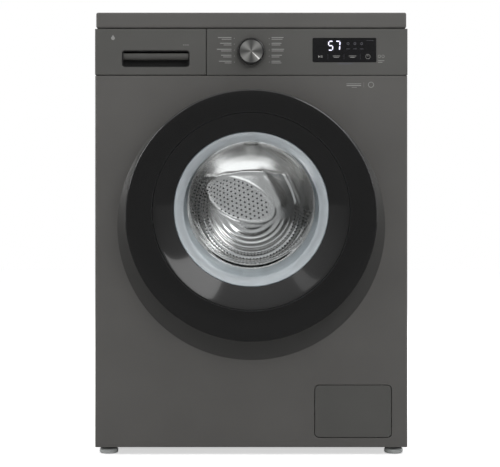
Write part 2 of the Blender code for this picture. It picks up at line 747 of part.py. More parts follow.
def hose(name, points, radius, kind, parent):
    """A pipe along a smooth curve through the points, with straight ends."""
    line = [Vector(points[0]), *smooth_line(points[1:-1], 3), Vector(points[-1])]
    line = [place - Vector(parent["place"]) for place in line]
    data = bpy.data.curves.new(name, "CURVE")
    data.dimensions = "3D"
    data.bevel_depth = radius
    data.bevel_resolution = 2
    data.use_fill_caps = True
    spline = data.splines.new("POLY")
    spline.points.add(len(line) - 1)
    for point, place in zip(spline.points, line):
        point.co = (*place, 1)
    made = bpy.data.objects.new(name, data)
    bpy.context.collection.objects.link(made)
    made.parent = parent
    data.materials.append(finish(name, kind))


def smooth_line(points, steps):
    """Catmull-Rom curve through the points."""
    places = [Vector(point) for point in points]
    places = [2 * places[0] - places[1], *places, 2 * places[-1] - places[-2]]
    line = []
    for a, b, c, d in zip(places, places[1:], places[2:], places[3:]):
        for step in range(steps):
            t = step / steps
            line.append(
                0.5 * (2 * b + (c - a) * t + (2 * a - 5 * b + 4 * c - d) * t**2
                       + (3 * b - a - 3 * c + d) * t**3)
            )
    return [*line, places[-2]]


def build_drain_hose(cabinet):
    x, z = drain_exit()
    start = PUMP_Z + PUMP_BARREL_RADIUS + 0.010 + GAP
    y = deep(0.088)
    points = [
        (PUMP_X, y, start),
        (PUMP_X, y, start + 0.010),
        (PUMP_X + 0.016, y + 0.020, start + 0.020),
        (x, y + 0.060, z),
        (x, y + 0.120, z),
        (x, REAR_Y - 0.12, z),
        (x, REAR_Y - 0.03, z),
        (x, REAR_Y + 0.010, z),
    ]
    hose("drain_hose", points, DRAIN_RADIUS - GAP, "rubber", cabinet)


def build_dampers(cabinet, tub):
    floor = FOOT_HEIGHT + BASE_FLOOR + GAP
    lug = AXIS_Z - tub_height(DAMPER_X, TUB_OUTER - TUB_WALL / 2) - 0.020
    tube_top, cavity = (floor + lug) / 2 + 0.04, floor + 0.012
    bore = DAMPER_ROD_RADIUS + RUNNING
    for name, side in (("left", -1), ("right", 1)):
        place = (side * DAMPER_X, deep(DAMPER_DEPTH))
        tube = [(floor, 0), (floor, DAMPER_TUBE_RADIUS), (tube_top, DAMPER_TUBE_RADIUS)]
        tube += [(tube_top, bore), (cavity, bore), (cavity, 0)]
        shape = lathe(tube, place, "Z", TINY_ROUND, ring=True)
        add(f"damper_tube_{name}", shape, "dark moulding", cabinet)
        rod = [(cavity + 0.05, DAMPER_ROD_RADIUS), (lug - GAP, DAMPER_ROD_RADIUS)]
        add(f"damper_rod_{name}", lathe(rod, place, "Z", TINY_ROUND), "zinc steel", tub)


# ---- tub ----
def build_tub_front(tub):
    split, wall, front = TUB_SPLIT - GAP, TUB_WALL, DRUM_SETBACK - 0.012
    inner, outer, flange = TUB_INNER, TUB_OUTER, TUB_OUTER + TUB_FLANGE
    neck = front - wall - 0.010
    profile = [
        (split, inner),
        (front + 0.010, inner),
        (front, inner - 0.010),
        (front, NECK_RADIUS),
        (neck, NECK_RADIUS),
        (neck, NECK_RADIUS + wall),
        (front - wall, NECK_RADIUS + wall),
        (front - wall, outer - 0.012),
        (front + 0.009, outer),
        (split - 0.005, outer),
        (split - 0.005, flange),
        (split, flange),
    ]
    shape = lathe(deepened(profile), (0, AXIS_Z), ring=True)
    half = add("tub_front", shape, "tub plastic", tub)
    x, y = outlet_place()
    surface = AXIS_Z + tub_height(x, outer)
    top = housing_box()[0][2] - 0.037
    join(half, lathe([(surface - 0.012, 0.018), (top, 0.018)], (x, y), "Z", SMALL_ROUND))
    cut(half, lathe([(surface - 0.05, 0.014), (top + 0.01, 0.014)], (x, y), "Z", SMALL_ROUND))
    x, y = sump_place()
    surface = AXIS_Z - tub_height(x, outer)
    join(half, lathe([(surface - 0.020, 0.018), (surface + 0.003, 0.018)], (x, y), "Z", SMALL_ROUND))
    cut(half, lathe([(surface - 0.03, 0.013), (surface + 0.03, 0.013)], (x, y), "Z", SMALL_ROUND))
    # the two spigots' roots stand inside the round wall, which is cleared again
    clear = deepened([(front + 0.012, inner - 0.0008), (split + 0.01, inner - 0.0008)])
    cut(half, lathe(clear, (0, AXIS_Z)))


def lug_outline(x, width, up, reach):
    """A lug that stands on the tub's wall at x and reaches up or down."""
    seat = TUB_OUTER - TUB_WALL / 2
    near, far = x - width / 2, x + width / 2
    tip = AXIS_Z + up * reach
    feet = [(near, AXIS_Z + up * tub_height(near, seat)), (far, AXIS_Z + up * tub_height(far, seat))]
    return [*feet, (far, tip), (near, tip)]


def spring_lug_reach():
    return tub_height(SPRING_X - 0.010, TUB_OUTER) + 0.024


def build_tub_rear(tub):
    wall, back = TUB_WALL, TUB_BACK
    inner, outer, flange = TUB_INNER, TUB_OUTER, TUB_OUTER + TUB_FLANGE
    split = TUB_SPLIT + GAP
    front_seat, rear_seat = FRONT_BEARING_RADIUS + GAP, REAR_BEARING_RADIUS + GAP
    profile = [
        (split, inner),
        (back - 0.012, inner),
        (back, inner - 0.012),
        (back, front_seat),
        (back + 0.0165, front_seat),
        (back + 0.0165, 0.018),
        (back + 0.0365, 0.018),
        (back + 0.0365, rear_seat),
        (back + 0.054, rear_seat),
        (back + 0.054, 0.040),
        (back + wall + 0.001, 0.040),
        (back + wall + 0.001, outer - 0.013),
        (back - 0.009, outer),
        (split + 0.005, outer),
        (split + 0.005, flange),
        (split, flange),
    ]
    shape = lathe(deepened(profile), (0, AXIS_Z), ring=True)
    half = add("tub_rear", shape, "tub plastic", tub)
    spring_y = deep(BRACE_DEPTH + BRACE_WIDTH / 2)
    damper_y = deep(DAMPER_DEPTH)
    damper_reach = tub_height(DAMPER_X, TUB_OUTER - TUB_WALL / 2) + 0.020
    for side in (-1, 1):
        top = lug_outline(side * SPRING_X, 0.020, 1, spring_lug_reach())
        bottom = lug_outline(side * DAMPER_X, 0.020, -1, damper_reach)
        join(half, prism(top, "Y", spring_y - 0.01, spring_y + 0.01))
        join(half, prism(bottom, "Y", damper_y - 0.01, damper_y + 0.01))
    hole = HEATER_ROD + RUNNING
    for side in (-1, 1):
        x, z = side * HEATER_HALF, HEATER_Z
        cut(half, lathe([(deep(back - 0.02), hole), (deep(back + 0.02), hole)], (x, z), segments=TINY_ROUND))


def build_heater(tub):
    z, x = HEATER_Z, HEATER_HALF
    nose, tail = deep(TUB_SPLIT + 0.02), deep(TUB_BACK + 0.020)
    bend = [(a, b, z) for a, b in arc((0, nose + x), x, 180, 360, 8)]
    points = [(-x, tail, z), (-x, tail - 0.05, z), *bend, (x, tail - 0.05, z), (x, tail, z)]
    hose("heater", points, HEATER_ROD, "stainless steel", tub)


def build_counterweights(tub):
    inner = NECK_RADIUS + 0.013
    outer = min(TUB_INNER - 0.011, BOARD_Z - TUB_TRAVEL_ROOM - AXIS_Z)
    front, back = 0.0115, DRUM_SETBACK - 0.0155
    profile = [(front, inner), (back, inner), (back, outer), (front, outer)]
    ring = add("front_counterweight", lathe(deepened(profile), (0, AXIS_Z), ring=True), "concrete", tub)
    low = (CATCH_X - 0.014, deep(0), AXIS_Z - 0.055)
    cut(ring, box(low, (outer + 0.01, deep(0.1), AXIS_Z + 0.055)))

    left, right, top = housing_box()[1][0] + TOP_WEIGHT_ROOM, 0.200, BRACE_Z - 0.015
    seat = TUB_OUTER + 0.0015
    ends = [math.degrees(math.acos(x / seat)) for x in (left, right)]
    under = arc((0, AXIS_Z), seat, ends[0], ends[1], 10)
    outline = [*under, (right, top), (left, top)]
    shape = prism(outline, "Y", deep(0.075), deep(TUB_SPLIT - 0.010))
    add("top_counterweight", shape, "concrete", tub)


def build_bearings_and_stator(tub):
    back = TUB_BACK
    rings = [
        ("front_bearing", GAP, 0.0162, SHAFT_RADIUS + GAP, FRONT_BEARING_RADIUS, "zinc steel"),
        ("rear_bearing", 0.0368, 0.0520, REAR_SHAFT_RADIUS + GAP, REAR_BEARING_RADIUS, "zinc steel"),
        ("stator", 0.010, 0.038, 0.042, ROTOR_RADIUS - 0.008, "cast aluminium"),
    ]
    for name, start, end, inner, outer, kind in rings:
        profile = [(back + start, inner), (back + end, inner), (back + end, outer), (back + start, outer)]
        shape = lathe(deepened(profile), (0, AXIS_Z), segments=SMALL_ROUND, ring=True)
        add(name, shape, kind, tub)


def build_gasket(tub):
    neck = DRUM_SETBACK - 0.025
    lip = PORTHOLE_RADIUS - 0.0225
    path = [
        (0.0015, PORTHOLE_RADIUS + 0.009),
        (0.0015, lip + 0.021),
        (0.0190, lip - 0.0012),
        (0.0228, lip - 0.0012),
        (0.0285, lip + 0.0165),
        (neck - 0.0065, lip + 0.0165),
        (neck - 0.0035, PORTHOLE_RADIUS + 0.007),
    ]
    shape = lathe(deepened(shell(path, -0.0028)), (0, AXIS_Z), ring=True)
    add("door_gasket", shape, "rubber", tub)


def build_springs(tub):
    y = deep(BRACE_DEPTH + BRACE_WIDTH / 2)
    low, high = AXIS_Z + spring_lug_reach() + GAP, BRACE_Z - GAP
    neck = 0.012
    for name, side in (("left", -1), ("right", 1)):
        profile = [
            (low, 0.003),
            (low + neck, 0.003),
            (low + neck, SPRING_RADIUS),
            (high - neck, SPRING_RADIUS),
            (high - neck, 0.003),
            (high, 0.003),
        ]
        shape = lathe(profile, (side * SPRING_X, y), "Z", TINY_ROUND)
        add(f"spring_{name}", shape, "zinc steel", tub)


def build_tub_hoses(tub):
    x, y = outlet_place()
    bottom = housing_box()[0][2]
    low, high = bottom - 0.046, bottom - 0.006
    surface = AXIS_Z + tub_height(abs(x) - 0.021, TUB_OUTER) + GAP
    low = max(low, surface)
    profile = [(low, 0.0183), (high, 0.0183), (high, 0.0208), (low, 0.0208)]
    add("dispenser_hose", lathe(profile, (x, y), "Z", SMALL_ROUND, ring=True), "rubber", tub)
    x, y = sump_place()
    start = AXIS_Z - tub_height(x, TUB_OUTER) - 0.020 - GAP
    end = PUMP_X - PUMP_BARREL_RADIUS - 0.020 - GAP
    points = [
        (x, y, start),
        (x, y, start - 0.020),
        (x, y - 0.006, start - 0.045),
        (x + 0.012, deep(0.056), PUMP_Z + 0.010),
        (x + 0.040, deep(0.055), PUMP_Z),
        (end - 0.010, deep(0.055), PUMP_Z),
        (end, deep(0.055), PUMP_Z),
    ]
    hose("sump_hose", points, HOSE_RADIUS - GAP, "rubber", tub)


def sump_place():
    return (PUMP_X - 0.125, deep(0.095))


# ---- drum ----
def build_drum(drum):
    mouth, back, outer = DRUM_SETBACK, DRUM_BACK, DRUM_OUTER
    path = [
        (mouth + 0.006, DRUM_MOUTH_RADIUS),
        (mouth, DRUM_MOUTH_RADIUS + 0.006),
        (mouth, outer - 0.026),
        (mouth + 0.015, outer),
        (back - DRUM_CORNER, outer),
        (back, outer - DRUM_CORNER),
        (back, 0),
    ]
    shape = lathe(deepened(shell(path, DRUM_WALL)), (0, AXIS_Z), ring=True)
    add("drum", shape, "stainless steel", drum)

    inner = outer - DRUM_WALL - 0.0012
    start, end = deep(mouth + 0.035), deep(back - 0.035)
    half, height = LIFTER_WIDTH / 2, LIFTER_HEIGHT
    for number in range(LIFTERS):
        turn = math.radians(180 + 360 / LIFTERS * number)
        seat = [(side * half, -tub_height(half, inner)) for side in (-1, 1)]
        crest = [(0.011, height - inner), (-0.011, height - inner)]
        outline = [seat[0], (0, -inner * 0.9995), seat[1], (0.018, height - inner - 0.008), *crest]
        outline.append((-0.018, height - inner - 0.008))
        shape = prism(outline, "Y", start, end)
        bmesh.ops.rotate(shape, matrix=Matrix.Rotation(turn, 3, "Y"), verts=shape.verts)
        bmesh.ops.translate(shape, vec=(0, 0, AXIS_Z), verts=shape.verts)
        add(f"lifter_{number + 1}", shape, "pale moulding", drum)


def build_spider(drum):
    back = DRUM_BACK
    profile = [
        (back + GAP, 0.045),
        (back + 0.018, 0.045),
        (back + 0.020, SHAFT_RADIUS),
        (TUB_BACK + 0.021, SHAFT_RADIUS),
        (TUB_BACK + 0.0215, REAR_SHAFT_RADIUS),
        (TUB_BACK + 0.076, REAR_SHAFT_RADIUS),
    ]
    spider = add("drum_spider", lathe(deepened(profile), (0, AXIS_Z), segments=SMALL_ROUND),
                 "cast aluminium", drum)
    reach = DRUM_OUTER - 0.030
    outline = [(-0.022, 0.02), (0.022, 0.02), (0.012, reach), (-0.012, reach)]
    for number in range(3):
        arm = prism(outline, "Y", deep(back + GAP + 0.0002), deep(back + 0.014))
        turn = math.radians(360 / 3 * number)
        bmesh.ops.rotate(arm, matrix=Matrix.Rotation(turn, 3, "Y"), verts=arm.verts)
        bmesh.ops.translate(arm, vec=(0, 0, AXIS_Z), verts=arm.verts)
        join(spider, arm)


def build_rotor(drum):
    back, bore = TUB_BACK, REAR_SHAFT_RADIUS + GAP
    profile = [
        (back + 0.0555, bore),
        (back + 0.0555, 0.030),
        (back + 0.0640, 0.030),
        (back + 0.0640, ROTOR_RADIUS - 0.0055),
        (back + 0.0120, ROTOR_RADIUS - 0.0055),
        (back + 0.0120, ROTOR_RADIUS),
        (back + 0.0680, ROTOR_RADIUS),
        (back + 0.0680, bore),
    ]
    shape = lathe(deepened(profile), (0, AXIS_Z), segments=SMALL_ROUND * 3 // 2, ring=True)
    add("rotor", shape, "zinc steel", drum)


# ---- door ----
def door_profile(points):
    """Depths behind the panel and circles round the disc's middle, from (depth, radius, rise) points."""
    return [(deep(along), radius, rise) for along, radius, rise in points]


def hinge_notch(left, right, front, back):
    """Room for the hinge in a door piece, between two distances right of the hinge axis."""
    half = DOOR_ANGLE_NOTCH
    low = (HINGE_X + left, deep(front), DISC_Z - half)
    return box(low, (HINGE_X + right, deep(back), DISC_Z + half))


def build_door(door):
    face, wall = -DOOR_REACH, DOOR_WALL
    inner, outer = DISC_RADIUS - RING_WIDTH, DISC_RADIUS
    side = face + DOOR_SIDE
    points = [
        (face + 0.0010, inner + 0.0002, CONE_RISE),
        (face, inner + 0.0030, CONE_RISE),
        (face, outer - 0.0064, 0),
        (face + 0.0010, outer - 0.0030, 0),
        (face + 0.0030, outer - 0.0008, 0),
        (face + 0.0060, outer, 0),
        (side, outer, 0),
        (side, outer - wall, 0),
        (face + 0.0065, outer - wall, 0),
        (face + wall, outer - wall - 0.0040, 0),
        (face + wall, inner + 0.0002, CONE_RISE),
    ]
    ring = add("door_ring", lathe(door_profile(points), (0, DISC_Z), ring=True), "black gloss", door)
    cut(ring, hinge_notch(-0.03, 0.012, -HINGE_FORWARD - KNUCKLE_RADIUS - 0.001, side + 0.01))

    rim, bottom = CONE_RADIUS, WINDOW_RADIUS + 0.0005
    edge = face + CONE_DEPTH
    points = [
        (face + 0.0013, rim, CONE_RISE),
        (edge, bottom, WINDOW_RISE),
        (edge + 0.0011, bottom, WINDOW_RISE),
        (edge + 0.0011, bottom + 0.005, WINDOW_RISE),
        (face + 0.0038, rim, CONE_RISE),
    ]
    add("door_cone", lathe(door_profile(points), (0, DISC_Z), ring=True), "black gloss", door)

    build_glass(door, edge + 0.0015)

    glass = WINDOW_RADIUS + 0.0022
    front = edge + 0.0015 + GLASS_WALL + GAP
    body_radius = SURROUND_HOLE - 0.006
    points = [
        (front, glass, WINDOW_RISE),
        (front, outer - FRAME_LAP, 0),
        (front + 0.0027, outer - FRAME_LAP, 0),
        (front + 0.0027, body_radius, WINDOW_RISE),
        (-0.0030, body_radius - 0.004, WINDOW_RISE),
        (-0.0030, glass, WINDOW_RISE),
    ]
    frame = add("door_frame", lathe(door_profile(points), (0, DISC_Z), ring=True), "grey moulding", door)
    cut(frame, hinge_notch(-0.03, 0.038, front - 0.01, 0.01))
    pocket = box(
        (CATCH_X - 0.0055, deep(front + 0.003), AXIS_Z - CATCH_HALF_HEIGHT - 0.003),
        (CATCH_X + 0.0065, deep(0.01), AXIS_Z + CATCH_HALF_HEIGHT + 0.003),
    )
    cut(frame, pocket)


def build_glass(door, start):
    """A bowl whose walls close in a little towards the drum."""
    flange = WINDOW_RADIUS + GLASS_FLANGE
    end = start + GLASS_LENGTH
    bowl = WINDOW_RADIUS
    outside = [
        (start + GLASS_WALL, bowl + 0.0007),
        (0.0, bowl - 0.0043),
        (0.022, bowl - 0.0098),
        (end - 0.040, bowl - 0.0203),
        (end - 0.015, bowl - 0.0323),
        (end - 0.003, bowl - 0.0523),
        (end, bowl - 0.0873),
        (end, 0),
    ]
    inside = shell(outside, GLASS_WALL)[len(outside):-1]
    profile = [(start, flange), (start + GLASS_WALL, flange), *outside, *inside, (start, bowl)]
    shape = lathe(deepened(profile), (0, AXIS_Z), ring=True)
    add("door_glass", shape, "glass", door)


def build_hinge(cabinet, door):
    x, y, z = HINGE_X, deep(-HINGE_FORWARD), DISC_Z
    plate = 0.003
    seat = HINGE_FORWARD - plate + 0.001
    thick, lean, drop = 0.003, 0.017, 0.020
    slope = math.hypot(lean, drop)
    across = (thick * drop / slope, -thick * lean / slope)
    opening = math.degrees(math.asin(thick / KNUCKLE_RADIUS))
    heading = math.degrees(math.atan2(drop, lean))
    shank = arc((0, 0), KNUCKLE_RADIUS, heading + opening, heading - opening + 360, 10)
    shank += [(lean + thick, drop + across[1]), (lean + thick, seat)]
    shank += [(lean - thick, seat), (lean - thick, drop - across[1])]
    outline = [(x + a, y + b) for a, b in shank]
    shape = prism(outline, "Z", z - HINGE_HALF_HEIGHT, z + HINGE_HALF_HEIGHT)
    bracket = add("hinge_bracket", shape, "cast aluminium", cabinet)
    room = KNUCKLE_HALF_HEIGHT + RUNNING
    cut(bracket, box((x - 0.02, y - 0.02, z - room), (x + 0.05, y + seat - 0.008, z + room)))
    low = (x - 0.004, deep(-GAP - plate), z - DOOR_ANGLE_NOTCH + 0.002)
    join(bracket, box(low, (x + 0.024, deep(-GAP), z + DOOR_ANGLE_NOTCH - 0.002)))
    bore = PIN_RADIUS + GAP
    cut(bracket, lathe([(z - 0.05, bore), (z + 0.05, bore)], (x, y), "Z", TINY_ROUND))

    over = HINGE_HALF_HEIGHT + 0.002
    pin = lathe([(z - over, PIN_RADIUS), (z + over, PIN_RADIUS)], (x, y), "Z", TINY_ROUND)
    add("hinge_pin", pin, "stainless steel", cabinet)

    half = 0.002
    opening = math.degrees(math.asin(half / KNUCKLE_RADIUS))
    foot = HINGE_FORWARD - DOOR_REACH + CONE_DEPTH + 0.0015 + GLASS_WALL
    leaf = arc((0, 0), KNUCKLE_RADIUS, opening, 360 - opening, 10)
    leaf += [(0.041, -half), (0.041, foot - 0.004), (0.062, foot - 0.004)]
    leaf += [(0.062, foot), (0.0385, foot), (0.0385, half)]
    outline = [(x + a, y + b) for a, b in leaf]
    tall = KNUCKLE_HALF_HEIGHT
    arm = add("hinge_arm", prism(outline, "Z", z - tall, z + tall), "cast aluminium", door)
    cut(arm, lathe([(z - 0.05, bore), (z + 0.05, bore)], (x, y), "Z", TINY_ROUND))


def build_surround(cabinet):
    top, base = -SURROUND_HEIGHT, -GAP
    points = [
        (base, SURROUND_RADIUS, -SURROUND_DROP),
        (base - 0.0015, SURROUND_RADIUS - 0.001, -SURROUND_DROP),
        (top, DISC_RADIUS - 0.0064, 0),
        (top, SURROUND_HOLE, WINDOW_RISE),
        (base, SURROUND_HOLE, WINDOW_RISE),
    ]
    ring = add("door_surround", lathe(door_profile(points), (0, DISC_Z), ring=True), "dark moulding", cabinet)
    cut(ring, hinge_notch(-0.0065, 0.04, top - 0.01, 0.01))


def build_catch(cabinet, catch):
    x, y, z = CATCH_X, deep(-0.012), AXIS_Z
    tall = CATCH_HALF_HEIGHT
    outline = [(-0.0035, -0.0035), (0.0035, -0.0035), (0.0035, 0.0220), (0.0065, 0.0235)]
    outline += [(0.0065, 0.0265), (0.0000, 0.0310), (-0.0035, 0.0290)]
    outline = [(x + a, y + b) for a, b in outline]
    add("door_hook", prism(outline, "Z", z - tall, z + tall), "zinc steel", catch)

    reach = 0.045
    low = (CATCH_X - 0.009, deep(SHEET + GAP), z - reach)
    lock = add("door_lock", box(low, (CATCH_X + 0.040, deep(0.040), z + reach)), "pale moulding", cabinet)
    cut(lock, catch_slot(-0.01, 0.028))


# ---- feet ----
def build_foot(foot, name, x, y):
    pad = FOOT_PAD
    top = FOOT_HEIGHT + FOOT_STEM_LENGTH
    profile = [
        (0, FOOT_RADIUS - 0.001),
        (0.001, FOOT_RADIUS),
        (pad, FOOT_RADIUS),
        (pad + 0.0015, FOOT_RADIUS - 0.002),
        (pad + 0.0015, 0.0085),
        (FOOT_HEIGHT - 0.0015, 0.0085),
        (FOOT_HEIGHT - 0.0015, FOOT_STEM_RADIUS),
        (top, FOOT_STEM_RADIUS),
    ]
    add(f"foot_{name}", lathe(profile, (x, y), "Z", 16), "pale moulding", foot)


def build():
    clear_scene()
    cabinet = body("cabinet")
    build_base_frame(cabinet)
    build_front_panel(cabinet)
    build_side_panel(cabinet, "left_side_panel", -1)
    build_side_panel(cabinet, "right_side_panel", 1)
    build_rear_panel(cabinet)
    build_rear_cover(cabinet)
    build_worktop(cabinet)
    build_top_brace(cabinet)
    build_inlet_valve(cabinet)
    build_mains_gland(cabinet)
    build_control_panel(cabinet)
    build_display(cabinet)
    build_dispenser(cabinet)
    build_surround(cabinet)
    build_pump(cabinet)
    build_drain_hose(cabinet)

    tub = body("tub", (0, deep(TUB_SPLIT), AXIS_Z), cabinet)
    build_tub_front(tub)
    build_tub_rear(tub)
    build_gasket(tub)
    build_counterweights(tub)
    build_bearings_and_stator(tub)
    build_heater(tub)
    build_springs(tub)
    build_tub_hoses(tub)
    build_dampers(cabinet, tub)

    drum = body("drum axis", (0, deep(DRUM_SETBACK), AXIS_Z), tub)
    build_drum(drum)
    build_spider(drum)
    build_rotor(drum)

    door = body("door", (HINGE_X, deep(-HINGE_FORWARD), DISC_Z), cabinet)
    build_door(door)
    build_hinge(cabinet, door)
    build_catch(cabinet, body("catch", (CATCH_X, deep(-0.012), AXIS_Z), door))

    build_drawer(body("drawer", ((DRAWER_RIGHT - HALF_WIDTH) / 2, FRONT_Y, FASCIA_Z), cabinet))
    build_knob(body("selector", (0, FRONT_Y, KNOB_Z), cabinet))
    flap_axis = ((FLAP_LEFT + FLAP_RIGHT) / 2, deep(FLAP_AXIS_DEPTH), FLAP_AXIS_Z)
    build_flap(body("flap", flap_axis, cabinet))
    build_pump_filter(body("filter", (PUMP_X, deep(0.020), PUMP_Z), cabinet))
    build_impeller(body("impeller", (PUMP_X, deep(0.090), PUMP_Z), cabinet))
    for name, x, y in foot_places():
        build_foot(body(f"{name} foot", (x, y, 0), cabinet), name, x, y)


build()
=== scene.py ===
import json
import math

import bmesh
import bpy
from mathutils import Matrix, Quaternion, Vector

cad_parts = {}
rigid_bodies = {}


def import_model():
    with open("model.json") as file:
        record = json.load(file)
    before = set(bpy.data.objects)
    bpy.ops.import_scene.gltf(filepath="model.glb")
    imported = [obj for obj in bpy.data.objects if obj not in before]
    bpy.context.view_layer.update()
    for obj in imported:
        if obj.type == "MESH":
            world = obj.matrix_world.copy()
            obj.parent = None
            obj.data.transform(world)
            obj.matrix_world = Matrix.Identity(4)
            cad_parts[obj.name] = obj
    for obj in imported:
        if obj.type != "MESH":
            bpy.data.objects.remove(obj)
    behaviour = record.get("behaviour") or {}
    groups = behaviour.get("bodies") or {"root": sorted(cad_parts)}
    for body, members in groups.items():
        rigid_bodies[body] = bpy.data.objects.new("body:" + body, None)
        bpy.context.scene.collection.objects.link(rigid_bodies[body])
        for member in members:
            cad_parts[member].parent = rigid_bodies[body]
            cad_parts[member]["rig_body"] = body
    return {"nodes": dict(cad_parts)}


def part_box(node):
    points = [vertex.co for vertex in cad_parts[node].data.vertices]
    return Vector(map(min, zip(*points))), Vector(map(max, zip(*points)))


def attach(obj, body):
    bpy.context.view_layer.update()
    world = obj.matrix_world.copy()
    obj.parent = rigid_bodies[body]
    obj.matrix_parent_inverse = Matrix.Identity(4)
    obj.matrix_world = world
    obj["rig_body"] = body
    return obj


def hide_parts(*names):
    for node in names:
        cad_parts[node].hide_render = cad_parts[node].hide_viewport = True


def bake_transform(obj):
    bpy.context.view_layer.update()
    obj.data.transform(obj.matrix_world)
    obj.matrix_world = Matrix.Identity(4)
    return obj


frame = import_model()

bl_info = {
    "name": "Front load washing machine",
    "version": (1, 0, 0),
    "blender": (4, 5, 0),
    "location": "View3D > Sidebar > Washer",
    "description": "Builds the visible pieces, finishes and studio of a front load washing machine",
    "category": "Object",
}

NODES = frame["nodes"]
PIECE_BODY = {node: obj["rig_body"] for node, obj in NODES.items()}
FACETS = math.cos(math.pi / 36)  # the frame's round nodes have 36 sides


# ---- sizes read from the frame ----
def corners(node):
    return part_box(node)


def middle(node):
    low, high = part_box(node)
    return (low + high) / 2


def round_size(node):
    low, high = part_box(node)
    return (high.z - low.z) / 2 / FACETS


PANEL_Y = corners("front_panel")[0].y
DOOR_Y = corners("door_ring")[0].y
RING_BACK = corners("door_ring")[1].y
DISC_Z = middle("door_ring").z
DISC_RADIUS = round_size("door_ring")
CONE_Z = 0.468  # centre height of the dished cone's outer edge
CONE_RADIUS = 0.1864  # and its radius
AXIS_Z = middle("drum").z
GLASS_FLANGE = 0.006  # the glass's hidden rim, beyond the window
WINDOW_RADIUS = round_size("door_glass") - GLASS_FLANGE
GLASS_START, GLASS_END = corners("door_glass")[0].y, corners("door_glass")[1].y
DRUM_START, DRUM_END = corners("drum")[0].y, corners("drum")[1].y
DRUM_RADIUS = round_size("drum")
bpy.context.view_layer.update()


# ---- shader groups ----
def wired(tree, kind, settings=(), inputs=()):
    """Adds a node, sets its fields, and links or sets its sockets."""
    node = tree.nodes.new(kind)
    for field, value in dict(settings).items():
        setattr(node, field, value)
    for socket, value in dict(inputs).items():
        if isinstance(value, bpy.types.NodeSocket):
            tree.links.new(value, node.inputs[socket])
        else:
            node.inputs[socket].default_value = value
    return node


def maths(tree, operation, *values):
    """One arithmetic step; each value is a number or a socket."""
    return wired(tree, "ShaderNodeMath", {"operation": operation}, dict(enumerate(values))).outputs[0]


def noise(tree, place, scale, detail):
    return wired(tree, "ShaderNodeTexNoise", {},
                 {"Vector": place, "Scale": scale, "Detail": detail}).outputs["Fac"]


def put_out_surface(tree, start, end, relief, wear):
    """Ends a texture group: a normal from one pattern, roughness from another."""
    bump = wired(tree, "ShaderNodeBump", {},
                 {"Strength": start.outputs["Depth"], "Distance": RELIEF, "Height": relief})
    rough = maths(tree, "MULTIPLY_ADD", wear, start.outputs["Rough"], start.outputs["Smooth"])
    tree.links.new(rough, end.inputs["Roughness"])
    tree.links.new(bump.outputs["Normal"], end.inputs["Normal"])


def new_group(name, inputs, outputs):
    tree = bpy.data.node_groups.new(name, "ShaderNodeTree")
    for label, kind, default in inputs:
        socket = tree.interface.new_socket(label, in_out="INPUT", socket_type=kind)
        socket.default_value = default
    for label, kind in outputs:
        tree.interface.new_socket(label, in_out="OUTPUT", socket_type=kind)
    return tree, tree.nodes.new("NodeGroupInput"), tree.nodes.new("NodeGroupOutput")


FLOAT, COLOUR, VECTOR = "NodeSocketFloat", "NodeSocketColor", "NodeSocketVector"
RELIEF = 0.0003  # height that a full bump stands for
# painted highlight: a spun face's colour is made lighter in this many sectors round it, standing for its sheen
SHEEN_SECTORS = 4.0  # bright sectors round a spun metal face


def make_tone_group():
    """Slow, faint variation of a colour, with finer mottling inside it."""
    inputs = [("Color", COLOUR, (0.5, 0.5, 0.5, 1)), ("Size", FLOAT, 0.08), ("Amount", FLOAT, 0.06)]
    tree, start, end = new_group("Tone", inputs, [("Color", COLOUR)])
    place = wired(tree, "ShaderNodeTexCoord").outputs["Object"]
    cloud = noise(tree, place, maths(tree, "DIVIDE", 1.0, start.outputs["Size"]), 6.0)
    amount = maths(tree, "MULTIPLY", maths(tree, "SUBTRACT", cloud, 0.5), start.outputs["Amount"])
    factor = maths(tree, "MULTIPLY_ADD", amount, 2.0, 1.0)
    made = wired(tree, "ShaderNodeVectorMath", {"operation": "SCALE"},
                 {0: start.outputs["Color"], "Scale": factor})
    tree.links.new(made.outputs[0], end.inputs["Color"])
    return tree


def make_grain_group():
    """Fine surface texture, as of orange peel, spark erosion or rubber."""
    inputs = [("Size", FLOAT, 0.001), ("Depth", FLOAT, 0.1), ("Smooth", FLOAT, 0.4), ("Rough", FLOAT, 0.1)]
    tree, start, end = new_group("Grain", inputs, [("Roughness", FLOAT), ("Normal", VECTOR)])
    place = wired(tree, "ShaderNodeTexCoord").outputs["Object"]
    fine = noise(tree, place, maths(tree, "DIVIDE", 1.0, start.outputs["Size"]), 3.0)
    put_out_surface(tree, start, end, fine, noise(tree, place, 14.0, 4.0))
    return tree


def make_drawn_group():
    """Fine parallel lines of drawn or rolled metal; Stretch gives the spacing along each axis."""
    inputs = [("Stretch", VECTOR, (4, 4, 900)), ("Depth", FLOAT, 0.1), ("Smooth", FLOAT, 0.25),
              ("Rough", FLOAT, 0.2)]
    tree, start, end = new_group("Drawn", inputs, [("Roughness", FLOAT), ("Normal", VECTOR)])
    place = wired(tree, "ShaderNodeTexCoord").outputs["Object"]
    along = wired(tree, "ShaderNodeVectorMath", {"operation": "MULTIPLY"},
                  {0: place, 1: start.outputs["Stretch"]})
    lines = noise(tree, along.outputs[0], 1.0, 5.0)
    put_out_surface(tree, start, end, lines, lines)
    return tree


